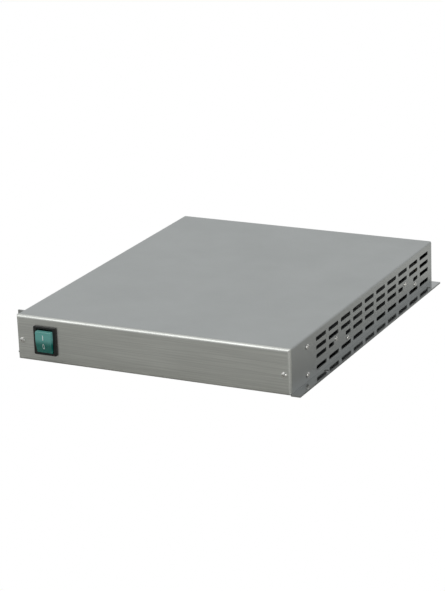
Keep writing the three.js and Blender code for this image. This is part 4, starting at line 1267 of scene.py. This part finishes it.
def chip(place, pins=8):
    body = box_shape(place + Vector((-3.2, -5, 0.8)) * MM, place + Vector((3.2, 5, 3.8)) * MM)
    legs = []
    for side in (-1, 1):
        for i in range(pins // 2):
            foot = place + Vector((side * 3.6, -3.8 + PIN_STEP * i, 0)) * MM
            low, high = Vector((-0.25, -0.25, 0)) * MM, Vector((0.25, 0.25, 2)) * MM
            legs.append(box_shape(foot + low, foot + high))
    return body, legs


def populate_board():
    draw = random.Random(7)
    barrels, bodies, metal = [], [], []
    top = board_high.z
    row_x = (sink_high.x + core_low.x) / 2 + 14 * MM
    for i in range(SMALL_PARTS):
        x = row_x + (i % 2) * 14 * MM + draw.uniform(-1, 1) * MM
        y = core_high.y + 22 * MM + (i // 2) * 7.5 * MM + draw.uniform(-0.8, 0.8) * MM
        if i in CHIP_PLACES:
            body, legs = chip(Vector((x, y, top)))
            bodies.append(body)
            metal.extend(legs)
            continue
        barrel, lead = resistor(Vector((x, y, top)))
        barrels.append(barrel)
        metal.append(lead)
    add_detail(joined(barrels), "board_resistors", ferrite, "main_board", slot="ferrite")
    chips = joined(bodies)
    add_detail(chips, "board_chips", black_plastic, "main_board", 0.15 * MM, slot="black_plastic")
    add_detail(joined(metal), "board_legs", tin, "main_board", slot="nickel")
    print("small parts:", len(barrels), "resistors,", len(bodies), "chips")


make_piece(node_shape("main_board"), "board", board_green, "main_board", edge=0.2 * MM)
populate_board()

# %% [markdown]
# ## Transformer and choke
# The transformer's core is two ferrite halves round a winding of lacquered copper wire. Only its
# top layer is drawn as separate turns, because the rest lies inside the core. The choke is a
# ring core with thick wire wound through it. Each turn is a loop of wire round the ring's
# section, so one loop is made and copied round by rotation.

# %% Transformer
COIL_TURNS = 15
COIL_WIRE = 0.9 * MM
COIL_SINK = 0.85 * MM
COIL_SPAN = 0.86
core = node_shape("transformer_core")
make_piece(core, "core", ferrite, "transformer_core", edge=0.5 * MM, segments=3)


def make_coil():
    low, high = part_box("transformer_coil")
    bm = node_shape("transformer_coil")
    make_piece(bm, "winding", copper_winding, "transformer_coil", edge=1.2 * MM, segments=4)
    middle = (low + high) / 2
    top_wires = []
    for i in range(COIL_TURNS):
        y = low.y + (i + 0.5) * (high.y - low.y) / COIL_TURNS
        wire = rod(COIL_WIRE, (high.x - low.x) * COIL_SPAN, 10)
        top_wires.append(moved(wire, facing((1, 0, 0), (middle.x, y, high.z - COIL_SINK))))
    turns = joined(top_wires)
    add_detail(turns, "winding_turns", copper_winding, "transformer_coil", slot="copper_winding")


make_coil()

# %% Choke
CHOKE_CORE, CHOKE_LOOP, CHOKE_WIRE = 0.72, 0.84, 0.15
CHOKE_TURNS, CHOKE_PLACES = 22, 25


def make_choke():
    low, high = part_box("choke")
    middle, tube = (low + high) / 2, (high.z - low.z) / 2
    ring = (high.x - low.x) / 2 - tube
    thick = CHOKE_CORE * tube
    angles = [math.pi / 8 * i for i in range(16)]
    section = [(ring + thick * math.cos(a), thick * math.sin(a)) for a in angles]
    core = moved(spun_shape(section, 40), Matrix.Translation(middle))
    make_piece(core, "choke_core", ferrite, "choke", edge=0, smooth=60, slot="ferrite")
    turns = []
    for i in range(CHOKE_TURNS):
        around = Matrix.Rotation(2 * math.pi * (i + 1.5) / CHOKE_PLACES, 4, "Z")
        loop = wire_ring(CHOKE_LOOP * tube, CHOKE_WIRE * tube, steps=24, sides=8)
        loop = moved(loop, Matrix.Rotation(math.pi / 2, 4, "X"))
        turns.append(moved(loop, Matrix.Translation(middle) @ around @ Matrix.Translation((ring, 0, 0))))
    add_detail(joined(turns), "choke_winding", copper_winding, "choke")
    print("choke:", len(turns), "turns")


make_choke()

# %% [markdown]
# ## Heatsink, capacitors and relay
# The heatsink is an extrusion, so only its edges are softened. A capacitor is a can in a shrink
# sleeve: the sleeve turns over the rim in a bead, a groove runs round the foot, and the bare
# top is scored so that it can vent. The relay is a moulded cover with rounded corners.

# %% Heatsink, relay and capacitors
CAN_RIM = ((0, 1.2), (0.3, 0.4), (1.1, 0), (1.6, 0.4))
make_piece(node_shape("heatsink"), "fins", heatsink_aluminium, "heatsink", edge=0.3 * MM)
make_piece(node_shape("relay"), "relay_cover", relay_blue, "relay", edge=0.9 * MM, segments=4)


def make_capacitor(node):
    low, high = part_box(node)
    radius, height = (high.x - low.x) / 2, high.z - low.z
    foot = Matrix.Translation(((low.x + high.x) / 2, (low.y + high.y) / 2, low.z))
    rim = [(radius - inward * MM, height - down * MM) for inward, down in CAN_RIM]
    neck = radius * 0.94
    outline = [(0, 0), (radius * 0.96, 0), (radius, 0.6 * MM), (radius, 2.6 * MM), (neck, 3.3 * MM)]
    outline += [(neck, 3.9 * MM), (radius, 4.6 * MM), *rim, (0, height - 0.4 * MM)]
    name = node.replace("capacitor", "can")
    make_piece(moved(spun_shape(outline, 40), foot), name, capacitor_sleeve, node, edge=0)
    under, over, disc = height - 0.5 * MM, height - 0.2 * MM, radius - 1.7 * MM
    top = spun_shape([(0, under), (disc, under), (disc, over), (0, over)], 40)
    scores = []
    for turn in (0, math.pi / 2):
        score = box_shape((-radius * 0.6, -0.25 * MM, height - 0.3 * MM), (radius * 0.6, 0.25 * MM, height))
        scores.append(moved(score, Matrix.Rotation(turn, 4, "Z")))
    top = moved(carved(top, scores), foot)
    name = node.replace("capacitor", "can_top")
    add_detail(top, name, heatsink_aluminium, node, slot="heatsink_aluminium")


for node in ("capacitor_1", "capacitor_2"):
    make_capacitor(node)
print("heatsink, relay and capacitors made")

# %% [markdown]
# ## Leads
# A lead's CAD solid is an eight-sided tube along the lead's real path. Rebuilding the path
# would mean repeating its points; instead the copy is smoothed with one level of subdivision,
# and its two end faces are creased so that they stay flat cuts.

# %% Leads
LEADS = {"battery_lead_red": red_lead, "battery_lead_black": black_lead, "switch_lead": black_lead}


def make_lead(node, material):
    bm = node_shape(node)
    crease = bm.edges.layers.float.new("crease_edge")
    for face in bm.faces:
        if len(face.verts) > 4:
            for edge in face.edges:
                edge[crease] = 1.0
    piece = make_piece(bm, node.replace("lead", "wire"), material, node, edge=0, smooth=60)
    smoothing = piece.modifiers.new("round", "SUBSURF")
    smoothing.levels = smoothing.render_levels = 1


for node, material in LEADS.items():
    make_lead(node, material)
print("leads:", list(LEADS))

# %% [markdown]
# ## Finish
# Every CAD node now has a finished piece in its place. The triangles of all pieces are counted,
# and the piece with the most is named.

# %% Count the triangles
depsgraph = bpy.context.evaluated_depsgraph_get()
triangles = {}
for piece in pieces:
    mesh = piece.evaluated_get(depsgraph).to_mesh()
    mesh.calc_loop_triangles()
    triangles[piece.name] = len(mesh.loop_triangles)
largest = max(triangles, key=triangles.get)
print("pieces:", len(pieces), "triangles:", sum(triangles.values()), "largest:", largest)
